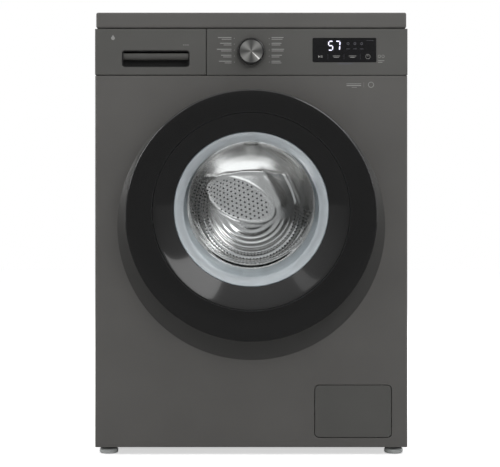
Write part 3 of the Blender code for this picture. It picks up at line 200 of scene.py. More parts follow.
def make_turned_group():
    """Fine rings round an axis that runs front to back, as a lathe or spinning leaves, and a painted highlight
    mask that is lighter in sectors round it.
    """
    inputs = [("Centre", VECTOR, (0, 0, 0)), ("Spacing", FLOAT, 0.0006), ("Depth", FLOAT, 0.1),
              ("Smooth", FLOAT, 0.25), ("Rough", FLOAT, 0.15)]
    outputs = [("Roughness", FLOAT), ("Normal", VECTOR), ("Painted Sheen", FLOAT)]
    tree, start, end = new_group("Turned", inputs, outputs)
    place = wired(tree, "ShaderNodeTexCoord").outputs["Object"]
    offset = wired(tree, "ShaderNodeVectorMath", {"operation": "SUBTRACT"},
                   {0: place, 1: start.outputs["Centre"]})
    flat = wired(tree, "ShaderNodeVectorMath", {"operation": "MULTIPLY"}, {0: offset.outputs[0], 1: (1, 0, 1)})
    radius = wired(tree, "ShaderNodeVectorMath", {"operation": "LENGTH"}, {0: flat.outputs[0]})
    count = maths(tree, "DIVIDE", radius.outputs["Value"], start.outputs["Spacing"])
    rings = wired(tree, "ShaderNodeTexNoise", {"noise_dimensions": "1D"},
                  {"W": count, "Scale": 1.0, "Detail": 4.0})
    put_out_surface(tree, start, end, rings.outputs["Fac"], rings.outputs["Fac"])
    # Painted highlight: a mask that is 1 in the bright sectors round the axis and 0 between them
    parts = wired(tree, "ShaderNodeSeparateXYZ", {}, {0: flat.outputs[0]})
    angle = maths(tree, "ARCTAN2", parts.outputs["Z"], parts.outputs["X"])
    wave = maths(tree, "COSINE", maths(tree, "MULTIPLY", angle, SHEEN_SECTORS))
    tree.links.new(maths(tree, "MULTIPLY_ADD", wave, -0.5, 0.5), end.inputs["Painted Sheen"])
    return tree


GROUPS = {}


def group_node(tree, name, inputs):
    if name not in GROUPS:
        makers = {"Tone": make_tone_group, "Grain": make_grain_group, "Drawn": make_drawn_group,
                  "Turned": make_turned_group}
        GROUPS[name] = makers[name]()
    return wired(tree, "ShaderNodeGroup", {"node_tree": GROUPS[name]}, inputs)


# ---- finishes ----
# colour or the colour setting that holds it, metallic, coat, texture, texture size, its depth, least roughness,
# roughness range
FINISHES = {
    "painted_steel": ("paint", 0, 0, "Grain", 0.0011, 0.10, 0.42, 0.10),
    "zinc_steel": ((0.50, 0.51, 0.52), 1, 0, "Grain", 0.0120, 0.05, 0.38, 0.22),
    "stainless": ("drum", 1, 0, "Drawn", 0.0012, 0.02, 0.16, 0.12),
    "grey_moulding": ("moulding", 0, 0, "Grain", 0.0008, 0.14, 0.42, 0.10),
    "dark_moulding": ("base", 0, 0, "Grain", 0.0007, 0.18, 0.50, 0.14),
    # the surround's dark colour is partly painted shadow, cast by the door
    "surround_moulding": ("surround", 0, 0, "Grain", 0.0006, 0.08, 0.34, 0.08),
    "black_gloss": ("gloss", 0, 0.6, "Grain", 0.0300, 0.03, 0.10, 0.05),
    "display_glass": ((0.012, 0.012, 0.013), 0, 0.5, "Grain", 0.0300, 0.02, 0.08, 0.04),
    "pale_moulding": ("pale", 0, 0, "Grain", 0.0009, 0.12, 0.40, 0.14),
    "tub_plastic": ((0.42, 0.43, 0.44), 0, 0, "Grain", 0.0020, 0.20, 0.50, 0.16),
    "gasket_rubber": ("gasket", 0, 0, "Grain", 0.0010, 0.12, 0.52, 0.18),
    "hose_rubber": ("hose", 0, 0, "Grain", 0.0012, 0.20, 0.55, 0.18),
    "cast_aluminium": ((0.55, 0.55, 0.56), 1, 0, "Grain", 0.0016, 0.40, 0.42, 0.20),
    "motor_core": ((0.30, 0.16, 0.08), 0.6, 0, "Drawn", 0.0010, 0.50, 0.40, 0.20),
    "concrete": ((0.34, 0.33, 0.31), 0, 0, "Grain", 0.0040, 0.80, 0.80, 0.15),
    "circuit_board": ((0.02, 0.10, 0.04), 0, 0, "Grain", 0.0020, 0.30, 0.40, 0.20),
    "knob_face": ((0.20, 0.20, 0.19), 1, 0, "Grain", 0.0008, 0.10, 0.34, 0.10),
    "print": ("print", 0, 0, "Grain", 0.0008, 0.05, 0.50, 0.10),
    # near black: painted shade for the inside of a perforation
    "hole_shade": ((0.006, 0.006, 0.006), 0, 0, "Grain", 0.0010, 0.05, 0.70, 0.10),
    "pointer": ((0.80, 0.80, 0.78), 0, 0, "Grain", 0.0010, 0.05, 0.35, 0.08),
    "steel_screw": ((0.45, 0.45, 0.46), 1, 0, "Grain", 0.0010, 0.10, 0.32, 0.16),
    # one lifter's darker, warmer colour: painted shade and warm light on a copy of the pale moulding
    "painted_lifter_tint": ((0.58, 0.57, 0.53), 0, 0, "Grain", 0.0009, 0.08, 0.30, 0.10),
}
STRETCH = {"stainless": (160, 160, 700), "motor_core": (40, 1800, 40)}
MADE = {}


def blank_material(name):
    made = bpy.data.materials.new(name)
    made.use_nodes = True
    tree = made.node_tree
    tree.nodes.clear()
    shader = tree.nodes.new("ShaderNodeBsdfPrincipled")
    output = tree.nodes.new("ShaderNodeOutputMaterial")
    tree.links.new(shader.outputs[0], output.inputs["Surface"])
    return made, tree, shader, output


def toned(name, colour, size, amount, roughness):
    """A material whose colour varies and whose roughness doesn't."""
    made, tree, shader, output = blank_material(name)
    tone = group_node(tree, "Tone", {"Color": (*colour, 1), "Size": size, "Amount": amount})
    tree.links.new(tone.outputs["Color"], shader.inputs["Base Color"])
    shader.inputs["Roughness"].default_value = roughness
    return made, tree, shader, output, tone


def finish(name):
    """The procedural material of a named finish."""
    if name in MADE:
        return MADE[name]
    special = {"door_glass": glass_finish, "glass_wall_glow": glass_wall_glow, "brushed_face": brushed_face,
               "lit": lit_finish,
               "dim_print": dim_print}
    MADE[name] = special[name]() if name in special else table_finish(name)
    return MADE[name]


def table_finish(name):
    colour, metallic, coat, texture, size, depth, smooth, rough = FINISHES[name]
    if isinstance(colour, str):
        colour = getattr(settings("colours"), colour)
    made, tree, shader, _ = blank_material(name)
    tone = group_node(tree, "Tone", {"Color": (*colour, 1), "Size": 0.09, "Amount": 0.10})
    values = {"Depth": depth, "Smooth": smooth, "Rough": rough}
    if texture == "Grain":
        values["Size"] = size
    else:
        values["Stretch"] = STRETCH[name]
    surface = group_node(tree, texture, values)
    shader.inputs["Metallic"].default_value = metallic
    shader.inputs["Coat Weight"].default_value = coat
    shader.inputs["Coat Roughness"].default_value = 0.04
    tree.links.new(tone.outputs["Color"], shader.inputs["Base Color"])
    tree.links.new(surface.outputs["Roughness"], shader.inputs["Roughness"])
    tree.links.new(surface.outputs["Normal"], shader.inputs["Normal"])
    return made


def glass_finish():
    """Clear thick glass that lets light through for shadows."""
    made, tree, shader, output, _ = toned("door_glass", settings("colours").glass, 0.12, 0.03, 0.02)
    shader.inputs["IOR"].default_value = 1.47
    shader.inputs["Transmission Weight"].default_value = 1.0
    clear = wired(tree, "ShaderNodeBsdfTransparent", {}, {"Color": (0.93, 0.97, 0.98, 1)})
    path = tree.nodes.new("ShaderNodeLightPath")
    mix = wired(tree, "ShaderNodeMixShader", {}, {"Fac": path.outputs["Is Shadow Ray"]})
    tree.links.new(shader.outputs[0], mix.inputs[1])
    tree.links.new(clear.outputs[0], mix.inputs[2])
    tree.links.new(mix.outputs[0], output.inputs["Surface"])
    return made


def glass_wall_glow():
    """The bowl's steep wall, painted pale and partly opaque: a painted glow for the light that thick glass
    gathers there.
    """
    made, _, shader, _, _ = toned("glass_wall_glow", (0.84, 0.90, 0.94), 0.03, 0.16, 0.05)
    shader.inputs["Transmission Weight"].default_value = 0.30
    return made


def brushed_face():
    """Metal face spun round the knob's axis, its colour lighter in four sectors: a painted reflection of the
    spun sheen.
    """
    made, tree, shader, _ = blank_material("brushed_face")
    centre = middle("knob")
    turned = group_node(tree, "Turned", {"Centre": tuple(centre), "Spacing": 0.0004, "Depth": 0.10,
                                         "Smooth": 0.26, "Rough": 0.10})
    # painted reflection: the colour runs from dark to light in the sectors where spun metal would catch the
    # light
    mix = wired(tree, "ShaderNodeMix", {"data_type": "RGBA"},
                {0: turned.outputs["Painted Sheen"], 6: (0.085, 0.085, 0.083, 1), 7: (0.29, 0.29, 0.28, 1)})
    tree.links.new(mix.outputs[2], shader.inputs["Base Color"])
    shader.inputs["Metallic"].default_value = 0.25
    tree.links.new(turned.outputs["Roughness"], shader.inputs["Roughness"])
    tree.links.new(turned.outputs["Normal"], shader.inputs["Normal"])
    return made


def lit_finish():
    made, tree, shader, _, tone = toned("lit_digits", settings("colours").digits, 0.01, 0.15, 0.4)
    tree.links.new(tone.outputs["Color"], shader.inputs["Emission Color"])
    shader.inputs["Emission Strength"].default_value = 0.75
    return made


def dim_print():
    return toned("dim_print", (0.10, 0.10, 0.115), 0.01, 0.2, 0.45)[0]


# ---- shapes ----
def placed(name, data):
    """A new object in the scene."""
    made = bpy.data.objects.new(name, data)
    bpy.context.scene.collection.objects.link(made)
    return made


def mesh_piece(name, verts, faces, material):
    mesh = bpy.data.meshes.new(name)
    mesh.from_pydata([tuple(v) for v in verts], [], faces)
    mesh.materials.append(finish(material))
    return placed(name, mesh)


def tidy(made, sharp=32, recalculate=True):
    """Merges doubles, turns faces outwards and marks sharp edges."""
    work = bmesh.new()
    work.from_mesh(made.data)
    bmesh.ops.remove_doubles(work, verts=work.verts, dist=1e-6)
    if recalculate:
        bmesh.ops.recalc_face_normals(work, faces=work.faces)
    for face in work.faces:
        face.smooth = True
    limit = math.radians(sharp)
    for edge in work.edges:
        edge.smooth = len(edge.link_faces) == 2 and edge.calc_face_angle(0) < limit
    work.to_mesh(made.data)
    work.free()
    return made


def turned(name, rows, material, centre_x=0.0, segments=160, closed=True, axis="Y"):
    """Rings about an axis; each row is (place along it, radius, centre height or (x, y))."""
    verts, faces, rings = [], [], []
    for row in rows:
        along, radius = row[0], row[1]
        first = len(verts)
        count = 1 if radius == 0 else segments
        for k in range(count):
            a = 2 * math.pi * k / segments
            u, v = radius * math.cos(a), radius * math.sin(a)
            if axis == "Y":
                verts.append((centre_x + u, along, row[2] + v))
            else:
                verts.append((row[2][0] + u, row[2][1] + v, along))
        rings.append((first, count))
    pairs = list(zip(rings, rings[1:])) + ([(rings[-1], rings[0])] if closed else [])
    for (a, count_a), (b, count_b) in pairs:
        if count_a == count_b == 1:
            continue
        for k in range(segments):
            n = (k + 1) % segments
            if count_a == 1:
                faces.append((a, b + n, b + k))
            elif count_b == 1:
                faces.append((a + k, a + n, b))
            else:
                faces.append((a + k, a + n, b + n, b + k))
    return tidy(mesh_piece(name, verts, faces, material))


def upright(name, rows, centre, material, segments, closed=False):
    """Rings about an upright axis; rows are (height, radius)."""
    return turned(name, [(z, r, centre) for z, r in rows], material, segments=segments, closed=closed, axis="Z")


def rounded(points, radius, steps=5):
    """A closed or open profile's corners rounded; points are (a, b)."""
    made = [points[0]]
    for before, at, after in zip(points, points[1:], points[2:]):
        a, b, c = Vector(before), Vector(at), Vector(after)
        reach = min(radius, (a - b).length * 0.45, (c - b).length * 0.45)
        start, end = b + (a - b).normalized() * reach, b + (c - b).normalized() * reach
        for step in range(steps + 1):
            t = step / steps
            made.append(tuple((1 - t) ** 2 * start + 2 * t * (1 - t) * b + t * t * end))
    return [*made, points[-1]]


def flat_rounded(x0, x1, z0, z1, radius, steps=5):
    """Outline of a rounded rectangle in the front plane."""
    radius = min(radius, (x1 - x0) / 2 - 1e-5, (z1 - z0) / 2 - 1e-5)
    outline = []
    for cx, cz, turn in ((x1 - radius, z1 - radius, 0), (x0 + radius, z1 - radius, 90),
                         (x0 + radius, z0 + radius, 180), (x1 - radius, z0 + radius, 270)):
        for step in range(steps + 1):
            a = math.radians(turn + 90 * step / steps)
            outline.append((cx + radius * math.cos(a), cz + radius * math.sin(a)))
    return outline


def stack(name, loops, material, capped=(True, True), sharp=32):
    """Skins loops of equal length; each is a list of (x, y, z)."""
    verts = [point for loop in loops for point in loop]
    n, faces = len(loops[0]), []
    for level in range(len(loops) - 1):
        a, b = level * n, (level + 1) * n
        faces += [(a + k, a + (k + 1) % n, b + (k + 1) % n, b + k) for k in range(n)]
    if capped[0]:
        faces.append(tuple(range(n))[::-1])
    if capped[1]:
        faces.append(tuple(range((len(loops) - 1) * n, len(loops) * n)))
    return tidy(mesh_piece(name, verts, faces, material), sharp)


def merged(name, parts):
    """Joins finished meshes into the first one."""
    work = bmesh.new()
    slots = []
    for part in parts:
        shift = len(work.faces)
        work.from_mesh(part.data)
        work.faces.ensure_lookup_table()
        for face in work.faces[shift:]:
            material = part.data.materials[face.material_index]
            if material not in slots:
                slots.append(material)
            face.material_index = slots.index(material)
    mesh = bpy.data.meshes.new(name)
    for material in slots:
        mesh.materials.append(material)
    work.to_mesh(mesh)
    work.free()
    made = placed(name, mesh)
    for part in parts:
        bpy.data.objects.remove(part)
    return made


def baked(made):
    """The evaluated shape as a plain mesh, with no modifiers left."""
    bpy.context.view_layer.update()
    graph = bpy.context.evaluated_depsgraph_get()
    mesh = bpy.data.meshes.new_from_object(made.evaluated_get(graph), preserve_all_data_layers=True,
                                           depsgraph=graph)
    made.modifiers.clear()
    made.data = mesh
    return made


def clean_copy(name, node, material):
    """A CAD node's mesh with its doubles merged and its flat faces joined up."""
    mesh = NODES[node].data.copy()
    mesh.name = name
    mesh.materials.clear()
    mesh.materials.append(finish(material))
    made = placed(name, mesh)
    work = bmesh.new()
    work.from_mesh(mesh)
    for face in work.faces:
        face.material_index = 0
    bmesh.ops.remove_doubles(work, verts=work.verts, dist=2e-6)
    bmesh.ops.dissolve_limit(work, angle_limit=math.radians(0.6), verts=work.verts, edges=work.edges)
    bmesh.ops.dissolve_degenerate(work, edges=work.edges, dist=1e-6)
    for face in work.faces:
        face.smooth = True
    work.to_mesh(mesh)
    work.free()
    if "custom_normal" in mesh.attributes:
        mesh.attributes.remove(mesh.attributes["custom_normal"])
    return made


def bevelled(made, width, segments, angle=32):
    """Small rounded edges wherever faces meet at more than this angle."""
    bevel = made.modifiers.new("edge", "BEVEL")
    bevel.width = width
    bevel.segments = segments
    bevel.limit_method = "ANGLE"
    bevel.angle_limit = math.radians(angle)
    weighted = made.modifiers.new("flat faces", "WEIGHTED_NORMAL")
    weighted.keep_sharp = True
    return baked(made)


def softened(name, node, material, width=0.0008, segments=2, angle=32):
    """A clean copy of a CAD node with small rounded edges."""
    return bevelled(clean_copy(name, node, material), width, segments, angle)


def cut(made, low, high):
    """Takes a box out of a piece."""
    bpy.context.view_layer.update()
    mesh = bpy.data.meshes.new("cutter")
    work = bmesh.new()
    bmesh.ops.create_cube(work, size=1)
    low, high = Vector(low), Vector(high)
    size = high - low
    bmesh.ops.transform(work, matrix=Matrix.Translation((low + high) / 2) @ Matrix.Diagonal((*size, 1)),
                        verts=work.verts)
    work.to_mesh(mesh)
    work.free()
    cutter = placed("cutter", mesh)
    boolean = made.modifiers.new("cut", "BOOLEAN")
    boolean.operation = "DIFFERENCE"
    boolean.solver = "EXACT"
    boolean.object = cutter
    baked(made)
    bpy.data.objects.remove(cutter)
    return tidy(made, recalculate=False)


def spanning(made, slot, ends, places, *nodes):
    """Hides the CAD nodes that a flexible piece stands for and bakes its place into its mesh."""
    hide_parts(*nodes)
    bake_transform(made)
    return made


def filed(made, slot, body, *nodes):
    """Hides the CAD nodes that a finished piece stands for and puts it on its body."""
    if nodes:
        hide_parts(*nodes)
    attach(made, body)
    return made


def carried(name, node, material, width=0.0008, segments=2):
    """A CAD node with softened edges, on its own body."""
    return filed(softened(name, node, material, width, segments), material, PIECE_BODY[node], node)


def level(rows):
    """Rows of (y, radius) centred at the drum's height."""
    return [(y, r, AXIS_Z) for y, r in rows]


# ---- geometry node trees ----
TREES = {}


def new_tree(name, inputs):
    tree = bpy.data.node_groups.new(name, "GeometryNodeTree")
    tree.interface.new_socket("Geometry", in_out="INPUT", socket_type="NodeSocketGeometry")
    for label, kind in inputs:
        tree.interface.new_socket(label, in_out="INPUT", socket_type=kind)
    tree.interface.new_socket("Geometry", in_out="OUTPUT", socket_type="NodeSocketGeometry")
    return tree, tree.nodes.new("NodeGroupInput"), tree.nodes.new("NodeGroupOutput")


def close_tree(tree, start, end, geometry):
    real = wired(tree, "GeometryNodeRealizeInstances", {}, {0: geometry})
    coloured = wired(tree, "GeometryNodeSetMaterial", {},
                     {"Geometry": real.outputs[0], "Material": start.outputs["Material"]})
    tree.links.new(coloured.outputs[0], end.inputs[0])
    return tree


def copies_tree():
    """Sets one stamp on every point, facing along the point's aim."""
    inputs = [("Stamp", "NodeSocketObject"), ("Size", "NodeSocketFloat"), ("Material", "NodeSocketMaterial")]
    tree, start, end = new_tree("Copies", inputs)
    stamp = wired(tree, "GeometryNodeObjectInfo", {}, {"Object": start.outputs["Stamp"]})
    aim = wired(tree, "GeometryNodeInputNamedAttribute", {"data_type": "FLOAT_VECTOR"}, {"Name": "aim"})
    turn = wired(tree, "FunctionNodeAlignRotationToVector", {"axis": "Z"}, {"Vector": aim.outputs["Attribute"]})
    copies = wired(tree, "GeometryNodeInstanceOnPoints", {}, {
        "Points": start.outputs["Geometry"], "Instance": stamp.outputs["Geometry"],
        "Rotation": turn.outputs["Rotation"], "Scale": start.outputs["Size"]})
    return close_tree(tree, start, end, copies.outputs[0])


def coil_tree():
    """A round wire wound about an upright axis."""
    inputs = [("Turns", "NodeSocketFloat"), ("Radius", "NodeSocketFloat"), ("Height", "NodeSocketFloat"),
              ("Wire", "NodeSocketFloat"), ("Place", "NodeSocketVector"), ("Material", "NodeSocketMaterial")]
    tree, start, end = new_tree("Coil", inputs)
    spiral = wired(tree, "GeometryNodeCurveSpiral", {}, {
        "Resolution": 24, "Rotations": start.outputs["Turns"], "Start Radius": start.outputs["Radius"],
        "End Radius": start.outputs["Radius"], "Height": start.outputs["Height"]})
    ring = wired(tree, "GeometryNodeCurvePrimitiveCircle", {},
                 {"Resolution": 8, "Radius": start.outputs["Wire"]})
    tube = wired(tree, "GeometryNodeCurveToMesh", {},
                 {"Curve": spiral.outputs[0], "Profile Curve": ring.outputs[0], "Fill Caps": True})
    moved = wired(tree, "GeometryNodeTransform", {},
                  {"Geometry": tube.outputs[0], "Translation": start.outputs["Place"]})
    return close_tree(tree, start, end, moved.outputs[0])


def grown(made, kind, values):
    """Runs a tree on an object and keeps its result as a plain mesh."""
    if kind not in TREES:
        TREES[kind] = {"copies": copies_tree, "coil": coil_tree}[kind]()
    tree = TREES[kind]
    modifier = made.modifiers.new(kind, "NODES")
    modifier.node_group = tree
    for item in tree.interface.items_tree:
        if item.item_type == "SOCKET" and item.in_out == "INPUT" and item.name in values:
            modifier[item.identifier] = values[item.name]
    made.update_tag()
    return tidy(baked(made))


def copies(name, places, stamp, material, size=1.0):
    """places holds (point, aim) pairs; the stamp stands on its own z axis."""
    mesh = bpy.data.meshes.new(name)
    mesh.from_pydata([tuple(point) for point, _ in places], [], [])
    aims = mesh.attributes.new("aim", "FLOAT_VECTOR", "POINT")
    for item, (_, aim) in zip(aims.data, places):
        item.vector = aim
    made = placed(name, mesh)
    grown(made, "copies", {"Stamp": stamp, "Size": size, "Material": finish(material)})
    bpy.data.objects.remove(stamp)
    return made


def round_stamp(rows, segments=10):
    """A small turned stamp on the z axis; rows are (height, radius)."""
    return upright("stamp", rows, (0, 0), "steel_screw", segments)


def screw_stamp(radius=0.0042):
    return round_stamp([(0, radius), (radius * 0.35, radius), (radius * 0.55, radius * 0.72),
                        (radius * 0.55, radius * 0.42), (radius * 0.2, radius * 0.34), (radius * 0.2, 0)], 12)


# ---- settings shown in the sidebar ----
class WasherBodySettings(bpy.types.PropertyGroup):
    edge: bpy.props.FloatProperty(name="Sheet edge", description="Rounding of the folded steel edges",
                                  default=0.0012, unit="LENGTH")
    top_edge: bpy.props.FloatProperty(name="Worktop edge", description="Rounding of the worktop",
                                      default=0.0035, unit="LENGTH")
    fold: bpy.props.FloatProperty(name="Front fold", description="Rounding of the front sheet's upright folds",
                                  default=0.0060, unit="LENGTH")
    swage: bpy.props.FloatProperty(name="Side pressing", description="Depth of the pressed field on each side",
                                   default=0.0025, unit="LENGTH")


class WasherDoorSettings(bpy.types.PropertyGroup):
    rim: bpy.props.FloatProperty(name="Rim", description="Rounding of the door's outer edge", default=0.0042,
                                 unit="LENGTH")
    bowl_rise: bpy.props.FloatProperty(name="Bowl rise",
                                       description="How far the bowl's nose sits above its mouth",
                                       default=0.011, unit="LENGTH")


class WasherDrumSettings(bpy.types.PropertyGroup):
    pitch: bpy.props.FloatProperty(name="Hole spacing", description="Distance between perforations",
                                   default=0.0125, unit="LENGTH")
    hole: bpy.props.FloatProperty(name="Hole radius", description="Radius of one perforation", default=0.0020,
                                  unit="LENGTH")


class WasherColourSettings(bpy.types.PropertyGroup):
    paint: bpy.props.FloatVectorProperty(
        name="Paint", description="Painted sheet of the cabinet and the worktop",
        default=(0.103, 0.100, 0.095), min=0.0, max=1.0, subtype="COLOR")
    moulding: bpy.props.FloatVectorProperty(
        name="Moulding", description="Control panel and drawer front", default=(0.090, 0.089, 0.084), min=0.0,
        max=1.0, subtype="COLOR")
    # darker than the paint partly as painted shade: the shadow the door casts on its surround
    surround: bpy.props.FloatVectorProperty(
        name="Surround", description="Ring round the door", default=(0.050, 0.049, 0.047), min=0.0, max=1.0,
        subtype="COLOR")
    gloss: bpy.props.FloatVectorProperty(
        name="Door gloss", description="Black gloss of the door", default=(0.013, 0.013, 0.013), min=0.0,
        max=1.0, subtype="COLOR")
    base: bpy.props.FloatVectorProperty(
        name="Base", description="Base tray and other dark mouldings", default=(0.026, 0.026, 0.026), min=0.0,
        max=1.0, subtype="COLOR")
    pale: bpy.props.FloatVectorProperty(
        name="Pale moulding", description="Feet and other pale mouldings", default=(0.60, 0.62, 0.61), min=0.0,
        max=1.0, subtype="COLOR")
    drum: bpy.props.FloatVectorProperty(
        name="Drum", description="Stainless steel of the drum", default=(0.66, 0.65, 0.64), min=0.0, max=1.0,
        subtype="COLOR")
    gasket: bpy.props.FloatVectorProperty(
        name="Gasket", description="Rubber bellows behind the door", default=(0.21, 0.21, 0.21), min=0.0,
        max=1.0, subtype="COLOR")
    hose: bpy.props.FloatVectorProperty(
        name="Hoses", description="Rubber hoses", default=(0.055, 0.055, 0.055), min=0.0, max=1.0,
        subtype="COLOR")
    glass: bpy.props.FloatVectorProperty(
        name="Glass", description="Tint of the door's bowl", default=(0.93, 0.97, 0.985), min=0.0, max=1.0,
        subtype="COLOR")
    print: bpy.props.FloatVectorProperty(
        name="Print", description="Marks printed on the control panel", default=(0.30, 0.30, 0.29), min=0.0,
        max=1.0, subtype="COLOR")
    digits: bpy.props.FloatVectorProperty(
        name="Digits", description="Lit digits of the display", default=(0.80, 0.78, 0.95), min=0.0, max=1.0,
        subtype="COLOR")


class WasherStageSettings(bpy.types.PropertyGroup):
    distance: bpy.props.FloatProperty(name="Distance", description="Camera to the front panel", default=2.7,
                                      unit="LENGTH")
    height: bpy.props.FloatProperty(name="Height", description="Camera above the floor", default=0.459,
                                    unit="LENGTH")
    width: bpy.props.FloatProperty(name="Width", description="Width framed at the front panel", default=0.960,
                                   unit="LENGTH")


def settings(name):
    return getattr(bpy.context.scene, "washer_" + name)


# ---- studio ----
def add_light(name, place, aim, size, power, roll=0.0):
    data = bpy.data.lights.new(name, "AREA")
    data.shape = "RECTANGLE"
    data.size, data.size_y = size
    data.energy = power
    light = placed(name, data)
    light.location = place
    turn = (Vector(aim) - Vector(place)).to_track_quat("-Z", "Y")
    light.rotation_euler = (turn @ Quaternion((0, 0, 1), math.radians(roll))).to_euler()
    light.visible_camera = False
    light.visible_transmission = False
    return light


def reflected(turn, slope, distance):
    """Where a lamp stands to show in a dished ring at this angle round it."""
    a, tilt = math.radians(turn + 180), math.radians(slope)
    normal = Vector((math.sin(tilt) * math.cos(a), -math.cos(tilt), math.sin(tilt) * math.sin(a)))
    view = Vector((0, 1, 0))
    away = view - 2 * view.dot(normal) * normal
    return Vector((0, PANEL_Y, AXIS_Z)) + away * distance


def white(tree, kind, strength):
    return wired(tree, kind, {}, {"Color": (1, 1, 1, 1), "Strength": strength}).outputs[0]


class WASHER_OT_stage(bpy.types.Operator):
    """Floor, studio light and camera"""
    bl_idname = "washer.stage"
    bl_label = "Stage"

    def execute(self, context):
        stage = settings("stage")
        scene = context.scene
        camera = placed("camera", bpy.data.cameras.new("camera"))
        camera.location = (0, PANEL_Y - stage.distance, stage.height)
        camera.rotation_euler = (math.pi / 2, 0, 0)
        camera.data.sensor_width = 36
        camera.data.lens = 36 * stage.distance / stage.width
        camera.data.shift_x = -0.0025
        camera.data.shift_y = -0.035
        scene.camera = camera
        scene.view_settings.view_transform = "Standard"

        world = bpy.data.worlds.new("studio")
        world.use_nodes = True
        scene.world = world
        tree = world.node_tree
        tree.nodes.clear()
        place = wired(tree, "ShaderNodeTexCoord").outputs["Generated"]
        parts = wired(tree, "ShaderNodeSeparateXYZ", {}, {0: place})
        slopes = [wired(tree, "ShaderNodeMapRange", {},
                        {"Value": parts.outputs[axis], "From Min": a, "From Max": b,
                                                         "To Min": c, "To Max": d}).outputs[0]
                  for axis, a, b, c, d in (("Y", -0.95, 0.25, 0.06, 0.60), ("Z", 0.1, 0.95, 0.0, 0.35))]
        gloss = white(tree, "ShaderNodeBackground", maths(tree, "ADD", *slopes))
        soft, seen = white(tree, "ShaderNodeBackground", 0.40), white(tree, "ShaderNodeBackground", 1.0)
        path = tree.nodes.new("ShaderNodeLightPath")
        first = wired(tree, "ShaderNodeMixShader", {},
                      {"Fac": path.outputs["Is Glossy Ray"], 1: soft, 2: gloss})
        second = wired(tree, "ShaderNodeMixShader", {},
                       {"Fac": path.outputs["Is Camera Ray"], 1: first.outputs[0], 2: seen})
        out = tree.nodes.new("ShaderNodeOutputWorld")
        tree.links.new(second.outputs[0], out.inputs["Surface"])

        reach = 9.0
        square = [(-reach, -reach), (reach, -reach), (reach, reach), (-reach, reach)]
        floor = stack("floor", [[(x, y, z) for x, y in square] for z in (-0.02, 0)], "pale_moulding")
        made, tree, shader, output, _ = toned("studio_floor", (0.90, 0.90, 0.90), 2.0, 0.01, 0.8)
        shader.inputs["Specular IOR Level"].default_value = 0.2
        glow = white(tree, "ShaderNodeEmission", 0.62)
        path = tree.nodes.new("ShaderNodeLightPath")
        lift = wired(tree, "ShaderNodeMixShader", {}, {"Fac": path.outputs["Is Camera Ray"]})
        both = wired(tree, "ShaderNodeAddShader", {}, {0: shader.outputs[0], 1: glow})
        tree.links.new(shader.outputs[0], lift.inputs[1])
        tree.links.new(both.outputs[0], lift.inputs[2])
        dull = white(tree, "ShaderNodeEmission", 0.10)
        mirrored = wired(tree, "ShaderNodeMixShader", {}, {"Fac": path.outputs["Is Glossy Ray"], 2: dull})
        tree.links.new(lift.outputs[0], mirrored.inputs[1])
        tree.links.new(mirrored.outputs[0], output.inputs["Surface"])
        floor.data.materials[0] = made

        key = add_light("key", (0.0, -3.2, 2.4), (0, 0, 0.45), (2.4, 1.4), 17)
        key.visible_glossy = False
        centre = (0, PANEL_Y, AXIS_Z)
        add_light("softbox_right", reflected(234, 26.7, 2.3), centre, (0.95, 2.1), 12, -36)
        add_light("softbox_left", reflected(305, 26.7, 2.3), centre, (0.28, 1.7), 0.9, 42)
        add_light("strip_left", (-1.6, -0.75, 1.35), (0, PANEL_Y, 0.55), (0.16, 1.1), 7.0)
        add_light("strip_right", (1.6, -0.75, 1.35), (0, PANEL_Y, 0.55), (0.16, 1.1), 2.6)
        overhead = add_light("overhead", (0, 0.4, 2.8), (0, 0.4, 0), (3.0, 3.0), 34)
        overhead.visible_glossy = False
        add_light("drum_upper", (-0.03, -0.13, 0.625), (-0.02, 0.14, 0.46), (0.22, 0.09), 0.115)
        add_light("drum_lower", (-0.13, -0.10, 0.36), (0.0, 0.14, 0.48), (0.12, 0.05), 0.12)
        add_light("drum_front", (-0.02, -0.13, 0.49), (-0.02, 0.14, 0.49), (0.24, 0.20), 0.060)
        add_light("back_light", (0.6, 3.0, 2.0), (0, 0, 0.4), (2.4, 1.6), 26)
        return {"FINISHED"}


# ---- cabinet ----
SIDE_MARGIN, SIDE_BAND = 0.052, 0.060  # flat edge of a side sheet, and the pressed band inside it
SWAGE_SLOPE = 0.007


def pressed_side(name, node, sign):
    """A side panel with a shallow pressed field."""
    made = clean_copy(name, node, "painted_steel")
    work = bmesh.new()
    work.from_mesh(made.data)
    flat = [face for face in work.faces if face.normal.x * sign > 0.99]
    face = max(flat, key=lambda item: item.calc_area())
    depth = settings("body").swage
    for inset, step in ((SIDE_MARGIN, 0), (SWAGE_SLOPE, -depth), (SIDE_BAND, 0), (SWAGE_SLOPE, depth)):
        bmesh.ops.inset_individual(work, faces=[face], thickness=inset, depth=step)
    work.to_mesh(made.data)
    work.free()
    return bevelled(made, settings("body").edge, 3, 15)


